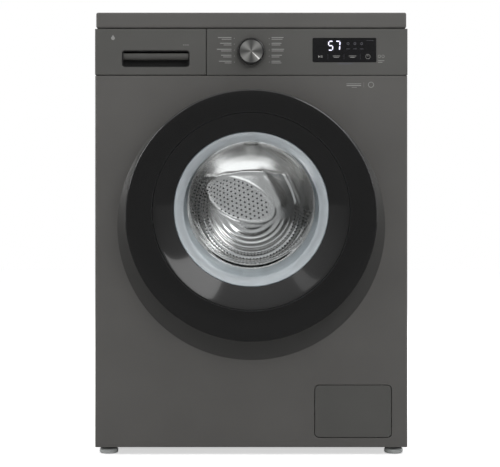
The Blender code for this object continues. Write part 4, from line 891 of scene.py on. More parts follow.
class WASHER_OT_cabinet(bpy.types.Operator):
    """Worktop, sheet metal panels, base and brace"""
    bl_idname = "washer.cabinet"
    bl_label = "Cabinet"

    def execute(self, context):
        body = settings("body")
        carried("worktop_board", "worktop", "painted_steel", body.top_edge, 4)
        front = clean_copy("front_sheet", "front_panel", "painted_steel")
        work = bmesh.new()
        work.from_mesh(front.data)
        side = corners("front_panel")[1].x
        folds = [edge for edge in work.edges
                 if all(abs(abs(v.co.x) - side) < 1e-4 and abs(v.co.y - PANEL_Y) < 1e-4 for v in edge.verts)]
        bmesh.ops.bevel(work, geom=folds, offset=body.fold, segments=6, profile=0.5, affect="EDGES",
                        clamp_overlap=True)
        for face in work.faces:
            face.smooth = True
        work.to_mesh(front.data)
        work.free()
        filed(bevelled(front, body.edge * 0.5, 2, 40), "painted_steel", "cabinet", "front_panel")
        filed(pressed_side("left_sheet", "left_side_panel", -1), "painted_steel", "cabinet", "left_side_panel")
        filed(pressed_side("right_sheet", "right_side_panel", 1), "painted_steel", "cabinet",
              "right_side_panel")
        carried("base_tray", "base_frame", "dark_moulding", 0.001)
        carried("brace", "top_brace", "zinc_steel", 0.0005)
        return {"FINISHED"}


class WASHER_OT_feet(bpy.types.Operator):
    """Screw feet with their stems and lock nuts"""
    bl_idname = "washer.feet"
    bl_label = "Feet"

    def execute(self, context):
        for node in [name for name in NODES if name.startswith("foot_")]:
            low, high = corners(node)
            x, y = (low.x + high.x) / 2, (low.y + high.y) / 2
            radius, pitch = 0.018, 0.0016
            pad_rows = [(0, 0), (0, radius - 0.003), (0.0008, radius - 0.0012), (0.0028, radius),
                        (0.0075, radius),
                        (0.0095, radius - 0.0014), (0.0100, radius - 0.004), (0.0108, 0.0070), (0.0112, 0)]
            thread = []
            start, top = 0.0118, high.z - 0.0015
            for k in range(int((top - start) / pitch)):
                z = start + k * pitch
                thread += [(z, 0.0046), (z + pitch / 2, 0.0041)]
            pad = upright(f"{node}_pad", pad_rows, (x, y), "pale_moulding", 48)
            stem = upright(f"{node}_stem",
                           [(0.0106, 0), (0.0106, 0.0044), *thread, (top, 0.0040), (high.z, 0.0034),
                            (high.z, 0)],
                           (x, y), "zinc_steel", 32)
            nut = stack("nut", [[(x + r * math.cos(a), y + r * math.sin(a), z)
                                 for a in [math.radians(60 * k) for k in range(6)]]
                                for z, r in ((0.0112, 0.0066), (0.0116, 0.0074), (0.0143, 0.0074),
                                             (0.0147, 0.0066))], "zinc_steel")
            made = merged(node + "_assembly", [pad, stem, nut])
            filed(made, "pale_moulding", PIECE_BODY[node], node)
        return {"FINISHED"}


# ---- door ----
HINGE_NOTCH = (0.034, 0.03, 0.012)  # half height, then reach left and right of the hinge axis
HINGE_AXIS = middle("hinge_pin")


def hinge_gap(made, left, right, front, back):
    return cut(made, (HINGE_AXIS.x - left, front, DISC_Z - HINGE_NOTCH[0]),
               (HINGE_AXIS.x + right, back, DISC_Z + HINGE_NOTCH[0]))


SEAT_Z, SEAT_RADIUS = 0.440, 0.257  # centre height and radius of the surround's foot on the front sheet
SEAT_LAP = 0.0384  # how far it reaches in behind the door
SEAT_TUCK = 0.0064  # its front edge, in from the door's
FRAME_LIP, FRAME_BODY = 0.0184, 0.0444  # the inner frame's rim and its raised body, in from the door's edge
DISH_DEPTH = 0.021  # of the dished cone
LIP_RADIUS = 0.1405  # of the rubber seal's mouth


class WASHER_OT_door_surround(bpy.types.Operator):
    """The sloping ring that frames the door, coloured darker than the sheet: partly its own moulding, partly a
    painted shadow of the door
    """
    bl_idname = "washer.door_surround"
    bl_label = "Door surround"

    def execute(self, context):
        low, high = corners("door_surround")
        base_z, outer = SEAT_Z, SEAT_RADIUS
        hole = DISC_RADIUS - SEAT_LAP
        rows = [(high.y, outer, base_z), (high.y - 0.0006, outer + 0.0001, base_z),
                (high.y - 0.0013, outer - 0.0005, base_z),
                (high.y - 0.0017, outer - 0.0016, base_z), (high.y - 0.0030, outer - 0.0040, base_z + 0.003)]
        top = DISC_RADIUS - SEAT_TUCK
        for t in (0.25, 0.5, 0.75, 0.92):
            rows.append((high.y - 0.003 + (low.y - high.y + 0.003) * (t ** 1.3),
                         outer - 0.004 + (top - outer + 0.004) * t,
                         base_z + 0.003 + (DISC_Z - base_z - 0.003) * t))
        rows += [(low.y + 0.0003, top - 0.001, DISC_Z), (low.y, top - 0.003, DISC_Z),
                 (low.y, hole + 0.001, AXIS_Z),
                 (low.y + 0.001, hole, AXIS_Z), (high.y, hole, AXIS_Z)]
        made = turned("door_seat_ring", rows, "surround_moulding", segments=192)
        made = hinge_gap(made, 0.0065, 0.04, low.y - 0.01, high.y + 0.01)
        filed(made, "surround_moulding", "cabinet", "door_surround")
        return {"FINISHED"}


class WASHER_OT_door(bpy.types.Operator):
    """Polished door ring, dished cone, inner frame and its screws"""
    bl_idname = "washer.door"
    bl_label = "Door"

    def execute(self, context):
        rim, wall = settings("door").rim, 0.003
        inner = CONE_RADIUS + 0.0006
        face = DOOR_Y
        corner = [(face + rim * (1 - math.cos(a)), DISC_RADIUS - rim * (1 - math.sin(a)), DISC_Z)
                  for a in [math.radians(step * 10) for step in range(0, 10)]]
        rows = [(face + 0.0012, inner + 0.0001, CONE_Z), (face + 0.0004, inner + 0.0008, CONE_Z),
                (face + 0.0001, inner + 0.0018, CONE_Z), (face, inner + 0.0030, CONE_Z),
                (face, DISC_RADIUS - 0.020, DISC_Z),
                *corner, (RING_BACK - 0.001, DISC_RADIUS, DISC_Z), (RING_BACK, DISC_RADIUS - 0.001, DISC_Z),
                (RING_BACK, DISC_RADIUS - wall, DISC_Z), (face + 0.0070, DISC_RADIUS - wall, DISC_Z),
                (face + wall, DISC_RADIUS - wall - 0.005, DISC_Z), (face + wall, inner + 0.0001, CONE_Z)]
        ring = turned("door_trim_ring", rows, "black_gloss", segments=224)
        ring = hinge_gap(ring, 0.03, 0.012, HINGE_AXIS.y - 0.006, RING_BACK + 0.01)
        filed(ring, "black_gloss", "door", "door_ring")

        bottom = WINDOW_RADIUS + 0.0005
        edge = DOOR_Y + DISH_DEPTH
        rows = [(face + 0.0013, CONE_RADIUS - 0.0001, CONE_Z), (face + 0.0015, CONE_RADIUS - 0.0009, CONE_Z)]
        for t in (0.12, 0.25, 0.4, 0.55, 0.7, 0.85, 0.95):
            depth = face + 0.0017 + (edge - face - 0.0017) * (t ** 1.12)
            rows.append((depth, CONE_RADIUS - 0.0012 + (bottom - CONE_RADIUS + 0.0012) * t,
                         CONE_Z + (AXIS_Z - CONE_Z) * t))
        rows += [(edge - 0.0002, bottom + 0.0004, AXIS_Z), (edge, bottom, AXIS_Z),
                 (edge + 0.0011, bottom, AXIS_Z),
                 (edge + 0.0011, bottom + 0.005, AXIS_Z), (face + 0.0038, CONE_RADIUS, CONE_Z)]
        filed(turned("door_dish", rows, "black_gloss", segments=224), "black_gloss", "door", "door_cone")

        low, high = corners("door_frame")
        outer, body = DISC_RADIUS - FRAME_LIP, DISC_RADIUS - FRAME_BODY
        hole = WINDOW_RADIUS + 0.0022
        rows = [(low.y, hole, AXIS_Z), (low.y, outer - 0.001, DISC_Z), (low.y + 0.0004, outer, DISC_Z),
                (low.y + 0.0023, outer, DISC_Z), (low.y + 0.0027, outer - 0.0006, DISC_Z),
                (low.y + 0.0027, body + 0.0006, AXIS_Z),
                (low.y + 0.0033, body, AXIS_Z), (high.y - 0.0012, body - 0.0038, AXIS_Z),
                (high.y - 0.0003, body - 0.0046, AXIS_Z),
                (high.y, body - 0.0058, AXIS_Z), (high.y, hole + 0.0015, AXIS_Z),
                (high.y - 0.0004, hole + 0.0004, AXIS_Z),
                (high.y - 0.0012, hole, AXIS_Z)]
        made = turned("door_inner_frame", rows, "grey_moulding", segments=160)
        made = hinge_gap(made, 0.03, 0.038, low.y - 0.01, high.y + 0.02)
        hook = corners("door_hook")
        made = cut(made, (hook[0].x - 0.002, low.y + 0.0010, hook[0].z - 0.003),
                   (hook[1].x + 0.0012, high.y + 0.01, hook[1].z + 0.003))
        filed(made, "grey_moulding", "door", "door_frame")
        places = []
        for k in range(9):
            a = math.radians(20 + 40 * k + (8 if k in (0, 8) else 0))
            radius = body - 0.016
            places.append((Vector((radius * math.cos(a), high.y - 0.0002, AXIS_Z + radius * math.sin(a))),
                           Vector((0, 1, 0))))
        made = copies("door_screws", places, screw_stamp(), "steel_screw")
        filed(made, "stainless", "door")
        return {"FINISHED"}


class WASHER_OT_glass(bpy.types.Operator):
    """The thick glass bowl"""
    bl_idname = "washer.glass"
    bl_label = "Door glass"

    def execute(self, context):
        w, start, end = WINDOW_RADIUS, GLASS_START, GLASS_END
        rise = settings("door").bowl_rise
        wall, flange = 0.005, w + 0.0058
        outline = [(start + wall, w + 0.0005), (PANEL_Y, w - 0.0045), (PANEL_Y + 0.022, w - 0.0100),
                   (end - 0.055, w - 0.0175),
                   (end - 0.040, w - 0.0215), (end - 0.027, w - 0.0275), (end - 0.016, w - 0.0350),
                   (end - 0.008, w - 0.0450),
                   (end - 0.003, w - 0.0580), (end - 0.0006, w - 0.0750), (end, w - 0.0950), (end, 0)]

        def height(y):
            """The bowl's circles climb towards its nose, and stay inside the straight bowl."""
            t = max(0.0, min(1.0, (y - PANEL_Y - 0.023) / 0.024))
            return AXIS_Z + rise * t * t * (3 - 2 * t)

        inner = [(start, w - 0.0010), (start + 0.010, w - 0.0052), (PANEL_Y, w - 0.0100),
                 (PANEL_Y + 0.022, w - 0.0160),
                 (end - 0.060, w - 0.0245), (end - 0.046, w - 0.0285), (end - 0.033, w - 0.0345),
                 (end - 0.022, w - 0.0420),
                 (end - 0.0135, w - 0.0530), (end - 0.0085, w - 0.0660), (end - 0.0062, w - 0.0800),
                 (end - 0.0055, w - 0.0980),
                 (end - 0.0055, 0)]
        rows = level([(start, flange - 0.0006), (start + 0.0006, flange), (start + wall - 0.0006, flange),
                      (start + wall, flange - 0.0006)])
        rows += [(y, r, height(y)) for y, r in [*outline, *reversed(inner)]]
        made = turned("door_bowl", rows, "door_glass", segments=192, closed=True)
        # the steep wall gets the pale glow finish: painted light in the thick glass
        made.data.materials.append(finish("glass_wall_glow"))
        for face in made.data.polygons:
            reach = math.hypot(face.center.x, face.center.z - height(face.center.y))
            face.material_index = 1 if reach > w - 0.0190 and face.center.y > start + 0.001 else 0
        filed(made, "door_glass", "door", "door_glass")
        return {"FINISHED"}


class WASHER_OT_hinge(bpy.types.Operator):
    """Hinge bracket, pin and arm, door catch and lock"""
    bl_idname = "washer.hinge"
    bl_label = "Hinge and catch"

    def execute(self, context):
        carried("hinge_casting", "hinge_bracket", "cast_aluminium", 0.0006)
        carried("hinge_leaf", "hinge_arm", "cast_aluminium", 0.0006)
        carried("catch_hook", "door_hook", "zinc_steel", 0.0004)
        carried("lock_case", "door_lock", "pale_moulding", 0.0008)
        low, high = corners("hinge_pin")
        centre = ((low.x + high.x) / 2, (low.y + high.y) / 2)
        rows = [(low.z, 0), (low.z, 0.0018), (low.z + 0.0006, 0.0024), (high.z - 0.0022, 0.0024),
                (high.z - 0.0004, 0.0024),
                (high.z, 0.0016), (high.z, 0)]
        made = upright("hinge_rod", rows, centre, "stainless", 32)
        filed(made, "stainless", "cabinet", "hinge_pin")
        return {"FINISHED"}


class WASHER_OT_gasket(bpy.types.Operator):
    """Rolled rubber door seal"""
    bl_idname = "washer.gasket"
    bl_label = "Door seal"

    def execute(self, context):
        low, high = corners("door_gasket")
        outer = round_size("door_gasket")
        lip = LIP_RADIUS
        path = [(low.y + 0.0002, outer - 0.0005), (low.y, lip + 0.022), (low.y + 0.0175, lip - 0.0008),
                (low.y + 0.0213, lip - 0.0008),
                (low.y + 0.0270, lip + 0.0168), (low.y + 0.0320, lip + 0.0150), (low.y + 0.0350, lip + 0.0175),
                (high.y - 0.0005, outer - 0.0035)]
        skin = rounded(path, 0.006, 5)
        wall = 0.0023
        back = []
        for k, (y, r) in enumerate(skin):
            before, after = skin[max(k - 1, 0)], skin[min(k + 1, len(skin) - 1)]
            along = Vector((after[0] - before[0], after[1] - before[1])).normalized()
            back.append((min(y - along.y * wall, high.y), min(r + along.x * wall, outer)))
        made = turned("door_seal", level([*skin, *reversed(back)]), "gasket_rubber", segments=144)
        spanning(made, "gasket_rubber", ("cabinet", "tub"),
                 ((0, high.y - 0.016, AXIS_Z), (0, high.y - 0.002, AXIS_Z)), "door_gasket")
        return {"FINISHED"}


# ---- drum ----
FIELD_CENTRE = (-0.034, 0.026)  # of the perforated field, from the drum's axis
FIELD_LONG, FIELD_SHORT = 0.086, 0.041
FIELD_COS, FIELD_SIN = math.cos(math.radians(-24)), math.sin(math.radians(-24))
FOLDS = (((-0.120, 0.086), (0.092, 0.090), 0.0018, 0.0045), ((0.092, 0.090), (0.122, 0.020), 0.0030, 0.0060),
         ((0.026, 0.085), (0.066, 0.018), 0.0024, 0.0150))


def plate_relief(x, z):
    """How far the pressed back stands towards the door at a point, from the drum's axis."""
    radius = math.hypot(x, z)
    u = (x - FIELD_CENTRE[0]) * FIELD_COS + (z - FIELD_CENTRE[1]) * FIELD_SIN
    v = (z - FIELD_CENTRE[1]) * FIELD_COS - (x - FIELD_CENTRE[0]) * FIELD_SIN
    reach = math.sqrt((u / FIELD_LONG) ** 2 + (v / FIELD_SHORT) ** 2)
    height = 0.0030 + 0.010 * max(0.0, 1 - (radius / 0.20) ** 2)
    height += 0.0008 * math.exp(-((reach - 1.06) / 0.045) ** 2)
    height -= 0.0016 * max(0.0, 1 - reach ** 6)
    for (ax, az), (bx, bz), rise, width in FOLDS:
        dx, dz = bx - ax, bz - az
        t = max(0.0, min(1.0, ((x - ax) * dx + (z - az) * dz) / (dx * dx + dz * dz)))
        gap = math.hypot(x - ax - t * dx, z - az - t * dz)
        height += rise * math.exp(-(gap / width) ** 2)
    lower = max(0.0, min(1.0, (-z - 0.02) / 0.05)) * max(0.0, 1 - math.exp(-((reach - 1.0) / 0.25) ** 2))
    height += 0.0013 * lower * math.sin(2 * math.pi * radius / 0.0165)
    rim = max(0.0, min(1.0, (radius - 0.185) / 0.02))
    return height * (1 - rim)


def back_plate(base, outer):
    """The drum's pressed back, as a fine grid of rings."""
    rings, around = 90, 180
    verts, faces = [(0, base - plate_relief(0, 0), AXIS_Z)], []
    for ring in range(1, rings + 1):
        radius = outer * ring / rings
        for k in range(around):
            a = 2 * math.pi * k / around
            x, z = radius * math.cos(a), radius * math.sin(a)
            verts.append((x, base - plate_relief(x, z), AXIS_Z + z))
    faces += [(0, 1 + (k + 1) % around, 1 + k) for k in range(around)]
    for ring in range(rings - 1):
        a, b = 1 + ring * around, 1 + (ring + 1) * around
        faces += [(a + k, a + (k + 1) % around, b + (k + 1) % around, b + k) for k in range(around)]
    first = len(verts)
    verts += [(x, base + 0.0012, z) for x, _, z in verts[-around:]]
    last = first - around
    faces += [(last + k, last + (k + 1) % around, first + (k + 1) % around, first + k) for k in range(around)]
    faces.append(tuple(range(first, first + around)))
    return tidy(mesh_piece("back_plate", verts, faces, "stainless"), 60)


THROAT_STEP = 0.0855  # the drum's mouth, in from its side
DRUM_WALL = 0.0009
LIFTER_HALF = math.radians(11)  # half the turn that a lifter covers
BACK_FIELD = 0.003  # the pressed back's plate, in from the drum's end


class WASHER_OT_drum(bpy.types.Operator):
    """Perforated drum with its pressed back, lifters and spider"""
    bl_idname = "washer.drum"
    bl_label = "Drum"

    def execute(self, context):
        mouth, back, outer = DRUM_START, DRUM_END, DRUM_RADIUS
        throat = outer - THROAT_STEP
        wall = DRUM_WALL
        inside = outer - wall
        skin = [(mouth + 0.008, throat + 0.0008), (mouth + 0.0018, throat + 0.0020),
                (mouth + 0.0010, throat + 0.0060),
                (mouth + 0.0010, outer - 0.028), (mouth + 0.0035, outer - 0.018),
                (mouth + 0.010, outer - 0.006),
                (mouth + 0.017, inside), (mouth + 0.034, inside), (mouth + 0.037, inside - 0.0025),
                (mouth + 0.040, inside - 0.0025),
                (mouth + 0.043, inside), (back - 0.045, inside), (back - 0.042, inside - 0.0025),
                (back - 0.039, inside - 0.0025),
                (back - 0.036, inside), (back - 0.009, inside), (back - 0.004, inside - 0.0018),
                (back - 0.0018, inside - 0.0060)]
        rows = skin + [(back - 0.0015, 0)]
        outside = [(back, 0), (back, outer - 0.007), (back - 0.0020, outer - 0.0020), (back - 0.007, outer),
                   (mouth + 0.015, outer),
                   (mouth + 0.004, outer - 0.011), (mouth, outer - 0.026), (mouth, throat + 0.006),
                   (mouth + 0.0018, throat + 0.0012),
                   (mouth + 0.006, throat)]
        shell = turned("drum_shell", level(rows + outside), "stainless", segments=180)

        drum = settings("drum")
        places = []
        band = outer - wall - 0.0001
        rings = int((back - mouth - 0.10) / (drum.pitch * 0.87))
        count = int(2 * math.pi * band / drum.pitch)
        for row in range(rings):
            y = mouth + 0.052 + row * drum.pitch * 0.87
            for k in range(count):
                a = 2 * math.pi * (k + 0.5 * (row % 2)) / count
                away = min(abs((a - math.pi / 2 - turn + math.pi) % (2 * math.pi) - math.pi)
                           for turn in (0, 2 * math.pi / 3, 4 * math.pi / 3))
                if away > LIFTER_HALF:
                    point = Vector((band * math.cos(a), y, AXIS_Z + band * math.sin(a)))
                    places.append((point, Vector((-math.cos(a), 0, -math.sin(a)))))
        pitch = drum.pitch * 0.86
        for row in range(-12, 13):
            for column in range(-14, 15):
                u = (column + 0.5 * (row % 2)) * pitch
                v = row * pitch * 0.87
                if (u / FIELD_LONG) ** 2 + (v / FIELD_SHORT) ** 2 < 0.90:
                    x = FIELD_CENTRE[0] + u * FIELD_COS - v * FIELD_SIN
                    z = FIELD_CENTRE[1] + u * FIELD_SIN + v * FIELD_COS
                    point = Vector((x, back - BACK_FIELD - plate_relief(x, z), AXIS_Z + z))
                    places.append((point, Vector((0, -1, 0))))
        for ring in range(8):
            radius = 0.118 + 0.0082 * ring
            around = int(2 * math.pi * radius / 0.0092)
            for k in range(around):
                a = 2 * math.pi * (k + 0.5 * (ring % 2)) / around
                if not 0.02 < (a / math.pi) < 0.83:
                    x, z = radius * math.cos(a), radius * math.sin(a)
                    places.append((Vector((x, back - BACK_FIELD - plate_relief(x, z), AXIS_Z + z)),
                                   Vector((0, -1, 0))))
        # Each perforation is a flat near-black disc on the wall, not an opening: painted shade for the hole
        stamp = round_stamp([(-0.0004, drum.hole), (0.0005, drum.hole), (0.0005, 0)], 8)
        holes = copies("perforations", places, stamp, "hole_shade")
        plate = back_plate(back - BACK_FIELD, inside - 0.010)
        made = merged("drum_basket", [shell, plate, holes])
        filed(made, "stainless", "drum", "drum")

        for number in range(3):
            node = f"lifter_{number + 1}"
            # The first lifter alone is darker and warmer than the other two: painted shade and warm light on the
            # same moulding
            made = softened(f"{node}_vane", node, "painted_lifter_tint" if number == 0 else "pale_moulding", 0.006, 4,
                            25)
            filed(made, "pale_moulding", "drum", node)
        carried("drum_cross", "drum_spider", "cast_aluminium", 0.0012)
        return {"FINISHED"}


# ---- controls ----
MARK_RISE, FAINT_RISE = 0.00015, 0.00012  # printed marks stand out this far
MARK_ROOT = 0.0002  # and reach in this far
MARKS_LEFT, MARKS_RIGHT = 0.038, 0.039  # from the knob's axis to the programme marks


def strip(name, outline, front, back, material, edge=0.0):
    """A thin plate with a front-plane outline; edge narrows its front."""
    centre = Vector((sum(x for x, _ in outline), sum(z for _, z in outline))) / len(outline)
    loops = [[(x, back, z) for x, z in outline]]
    if edge:
        loops.append([(x, front + edge * 0.6, z) for x, z in outline])
        small = [(Vector(point) - centre) for point in outline]
        loops.append([(centre.x + v.x - edge * v.x / max(v.length, 1e-6), front,
                       centre.y + v.y - edge * v.y / max(v.length, 1e-6))
                      for v in small])
    else:
        loops.append([(x, front, z) for x, z in outline])
    return stack(name, loops, material, sharp=20)


def bar(x0, x1, z0, z1, front, material="print", depth=MARK_RISE):
    return strip("bar", flat_rounded(x0, x1, z0, z1, 0.0003, 2), front - depth, front + MARK_ROOT, material)


def dot(x, z, radius, front, material="print", hollow=0.0):
    rows = [(front + MARK_ROOT, radius, z), (front - MARK_RISE, radius, z)]
    if hollow:
        rows += [(front - MARK_RISE, hollow, z), (front + MARK_ROOT, hollow, z)]
        return turned("dot", rows, material, centre_x=x, segments=28)
    return turned("dot", [*rows, (front - MARK_RISE, 0, z)], material, centre_x=x, segments=20, closed=False)


class WASHER_OT_control_panel(bpy.types.Operator):
    """Control panel with its printed marks, and a dark sheet behind its seam"""
    bl_idname = "washer.control_panel"
    bl_label = "Control panel"

    def execute(self, context):
        carried("fascia", "control_panel", "grey_moulding", 0.0010, 3)
        # A dark sheet behind the seam blocks light that would pass the gap, and its dark colour is painted shade
        # for the seam
        seam = corners("control_panel")[0].x
        outline = flat_rounded(seam - 0.0080, seam + 0.0030, 0.7315, 0.8170, 0.002, 3)
        shield = strip("seam_shield", outline, PANEL_Y + 0.0153, PANEL_Y + 0.0165, "dark_moulding", 0.0003)
        filed(shield, "dark_moulding", "cabinet")
        y = PANEL_Y
        marks = []
        heights = (0.800, 0.789, 0.7775, 0.766, 0.7545)
        lengths = ((0.026, 0.019), (0.022, 0.015), (0.028, 0.020), (0.020, 0.016), (0.024, 0.013))
        for z, (long, short) in zip(heights, lengths):
            lines = ((-MARKS_LEFT - long, -MARKS_LEFT, 0.0010, 0.0024),
                     (-MARKS_LEFT - short, -MARKS_LEFT, -0.0022, -0.0010),
                     (MARKS_RIGHT, MARKS_RIGHT + short + 0.004, 0.0010, 0.0024),
                     (MARKS_RIGHT, MARKS_RIGHT + long - 0.005, -0.0022, -0.0010))
            marks += [bar(x0, x1, z + z0, z + z1, y) for x0, x1, z0, z1 in lines]
            marks += [dot(x, z, 0.0007, y) for x in (-0.0325, 0.0345)]
        rings = ((0.246, 0.7655, 0.0028, 0.0021), (0.253, 0.7655, 0.0028, 0.0021),
                 (0.2300, 0.7110, 0.0056, 0.0045))
        marks += [dot(x, z, radius, y, "print", hollow) for x, z, radius, hollow in rings]
        lines = ((0.2435, 0.2555, 0.7565, 0.7577), (0.2435, 0.2520, 0.7535, 0.7546),
                 (0.1830, 0.2110, 0.7125, 0.7134),
                 (0.1830, 0.2110, 0.7088, 0.7104), (0.1930, 0.2030, 0.7056, 0.7064),
                 (0.2160, 0.2163, 0.7060, 0.7160))
        marks += [bar(*line, y) for line in lines]
        low = 0.7515
        notch = [(0.163, low + 0.0015), (0.168, low - 0.0008), (0.180, low - 0.0020), (0.192, low - 0.0008),
                 (0.197, low + 0.0015)]
        marks.append(strip("notch", notch[::-1], y - MARK_RISE, y + MARK_ROOT, "dim_print"))
        made = merged("printed_marks", marks)
        filed(made, "grey_moulding", "cabinet")
        return {"FINISHED"}


SEGMENTS = {"a": (0, 1, 1, 1), "b": (1, 0.5, 1, 1), "c": (1, 0, 1, 0.5), "d": (0, 0, 1, 0), "e": (0, 0, 0, 0.5),
            "f": (0, 0.5, 0, 1), "g": (0, 0.5, 1, 0.5)}


def digit(lit, x, z, width, height, front):
    """One seven-part figure, slightly leaning."""
    parts, half = [], 0.0011
    for key in lit:
        x0, z0, x1, z1 = SEGMENTS[key]
        a = Vector((x + x0 * width + z0 * 0.0012, z + z0 * height))
        b = Vector((x + x1 * width + z1 * 0.0012, z + z1 * height))
        along = (b - a).normalized()
        side = Vector((-along.y, along.x)) * half
        a, b = a + along * 0.0006, b - along * 0.0006
        shape = [a, a + along * half + side, b - along * half + side, b, b - along * half - side,
                 a + along * half - side]
        parts.append(strip("part", [(p.x, p.y) for p in shape][::-1], front - FAINT_RISE, front + MARK_ROOT,
                           "lit"))
    return parts


DIGIT_BOX = (0.7775, 0.0082, 0.0170)  # a lit figure's foot, width and height


class WASHER_OT_display(bpy.types.Operator):
    """Display window, its lit figures and touch marks"""
    bl_idname = "washer.display"
    bl_label = "Display"

    def execute(self, context):
        low, high = corners("display_window")
        front = low.y + 0.0002
        outline = flat_rounded(low.x, high.x, low.z, high.z, 0.0015, 4)
        made = strip("display_pane", outline, front, high.y, "display_glass", 0.0005)
        filed(made, "display_glass", "cabinet", "display_window")
        parts = [part for lit, x in (("acdfg", 0.1478), ("abc", 0.1612))
                 for part in digit(lit, x, *DIGIT_BOX, front)]
        for k in range(3):
            x = 0.186 + 0.013 * k
            parts.append(dot(x, 0.790, 0.0024, front, "dim_print", 0.0016))
            parts.append(bar(x - 0.0035, x + 0.0035, 0.7795, 0.7803, front, "dim_print", FAINT_RISE))
        for k in range(4):
            parts.append(bar(0.2215 + 0.0035 * k, 0.2240 + 0.0035 * k, 0.7955, 0.7962, front, "dim_print",
                             FAINT_RISE))
        triangle = [(0.1285, 0.7675), (0.1285, 0.7625), (0.1325, 0.7650)]
        parts.append(strip("play", triangle[::-1], front - FAINT_RISE, front + MARK_ROOT, "print"))
        parts += [bar(x, x + 0.0009, 0.7625, 0.7675, front, "print", FAINT_RISE) for x in (0.1335, 0.1355)]
        parts += [bar(x, x + 0.0003, 0.7600, 0.7700, front, "dim_print", FAINT_RISE)
                  for x in (0.147, 0.178, 0.209)]
        for x in (0.1565, 0.1875):
            parts.append(bar(x, x + 0.014, 0.7658, 0.7668, front, "print", FAINT_RISE))
            parts.append(bar(x + 0.002, x + 0.012, 0.7632, 0.7641, front, "print", FAINT_RISE))
        parts.append(dot(0.224, 0.7650, 0.0046, front, "print", 0.0040))
        parts.append(bar(0.2236, 0.2244, 0.7650, 0.7682, front, "print", FAINT_RISE))
        made = merged("display_marks", parts)
        filed(made, "display_glass", "cabinet")
        return {"FINISHED"}


KNOB_RADIUS = 0.0257
POINTER_TURN = math.radians(-45)


class WASHER_OT_knob(bpy.types.Operator):
    """Programme selector with a fluted skirt, spun face and pointer"""
    bl_idname = "washer.knob"
    bl_label = "Selector knob"

    def execute(self, context):
        z, radius = middle("knob").z, KNOB_RADIUS
        front, back = corners("knob")[0].y, PANEL_Y - 0.0012
        flutes, loops = 120, []
        rows = [(back, radius - 0.0004, 0), (front + 0.0040, radius - 0.0002, 1),
                (front + 0.0016, radius - 0.0004, 1),
                (front + 0.0005, radius - 0.0010, 0), (front, radius - 0.0020, 0),
                (front + 0.0001, radius - 0.0032, 0),
                (front + 0.0008, radius - 0.0038, 0), (front + 0.0024, radius - 0.0040, 0)]
        for y, r, fluted in rows:
            loop = []
            for k in range(flutes * 2):
                a = math.pi * k / flutes
                depth = 0.0003 if fluted and k % 2 else 0
                loop.append(((r - depth) * math.cos(a), y, z + (r - depth) * math.sin(a)))
            loops.append(loop)
        skirt = stack("knob_skirt", loops, "black_gloss")
        face = turned("knob_face", [(front + 0.0008, radius - 0.0036, z), (front + 0.0010, radius - 0.010, z),
                                    (front + 0.0011, 0.0, z)], "brushed_face", segments=96, closed=False)
        a = POINTER_TURN
        along, across = Vector((math.cos(a), math.sin(a))), Vector((-math.sin(a), math.cos(a)))
        tip, end = 0.0035, radius - 0.0042
        shape = [along * tip + across * 0.0005, along * tip - across * 0.0005, along * end - across * 0.0017,
                 along * end + across * 0.0017]
        pointer = strip("pointer", [(p.x, z + p.y) for p in shape], front + 0.0004, front + 0.0014, "pointer")
        low_y = PANEL_Y + 0.018
        stem = turned("stem", [(back, 0.0038, z), (low_y, 0.0038, z), (low_y, 0, z)], "black_gloss",
                      segments=24, closed=False)
        made = merged("selector_knob", [skirt, face, pointer, stem])
        filed(made, "knob_face", PIECE_BODY["knob"], "knob")
        return {"FINISHED"}


POCKET_X, POCKET_Z = -0.1835, 0.761  # middle of the drawer's finger pocket
POCKET_WIDTH, POCKET_HEIGHT = 0.130, 0.032
POCKET_PLAY = 0.0003  # between its liner and the drawer front


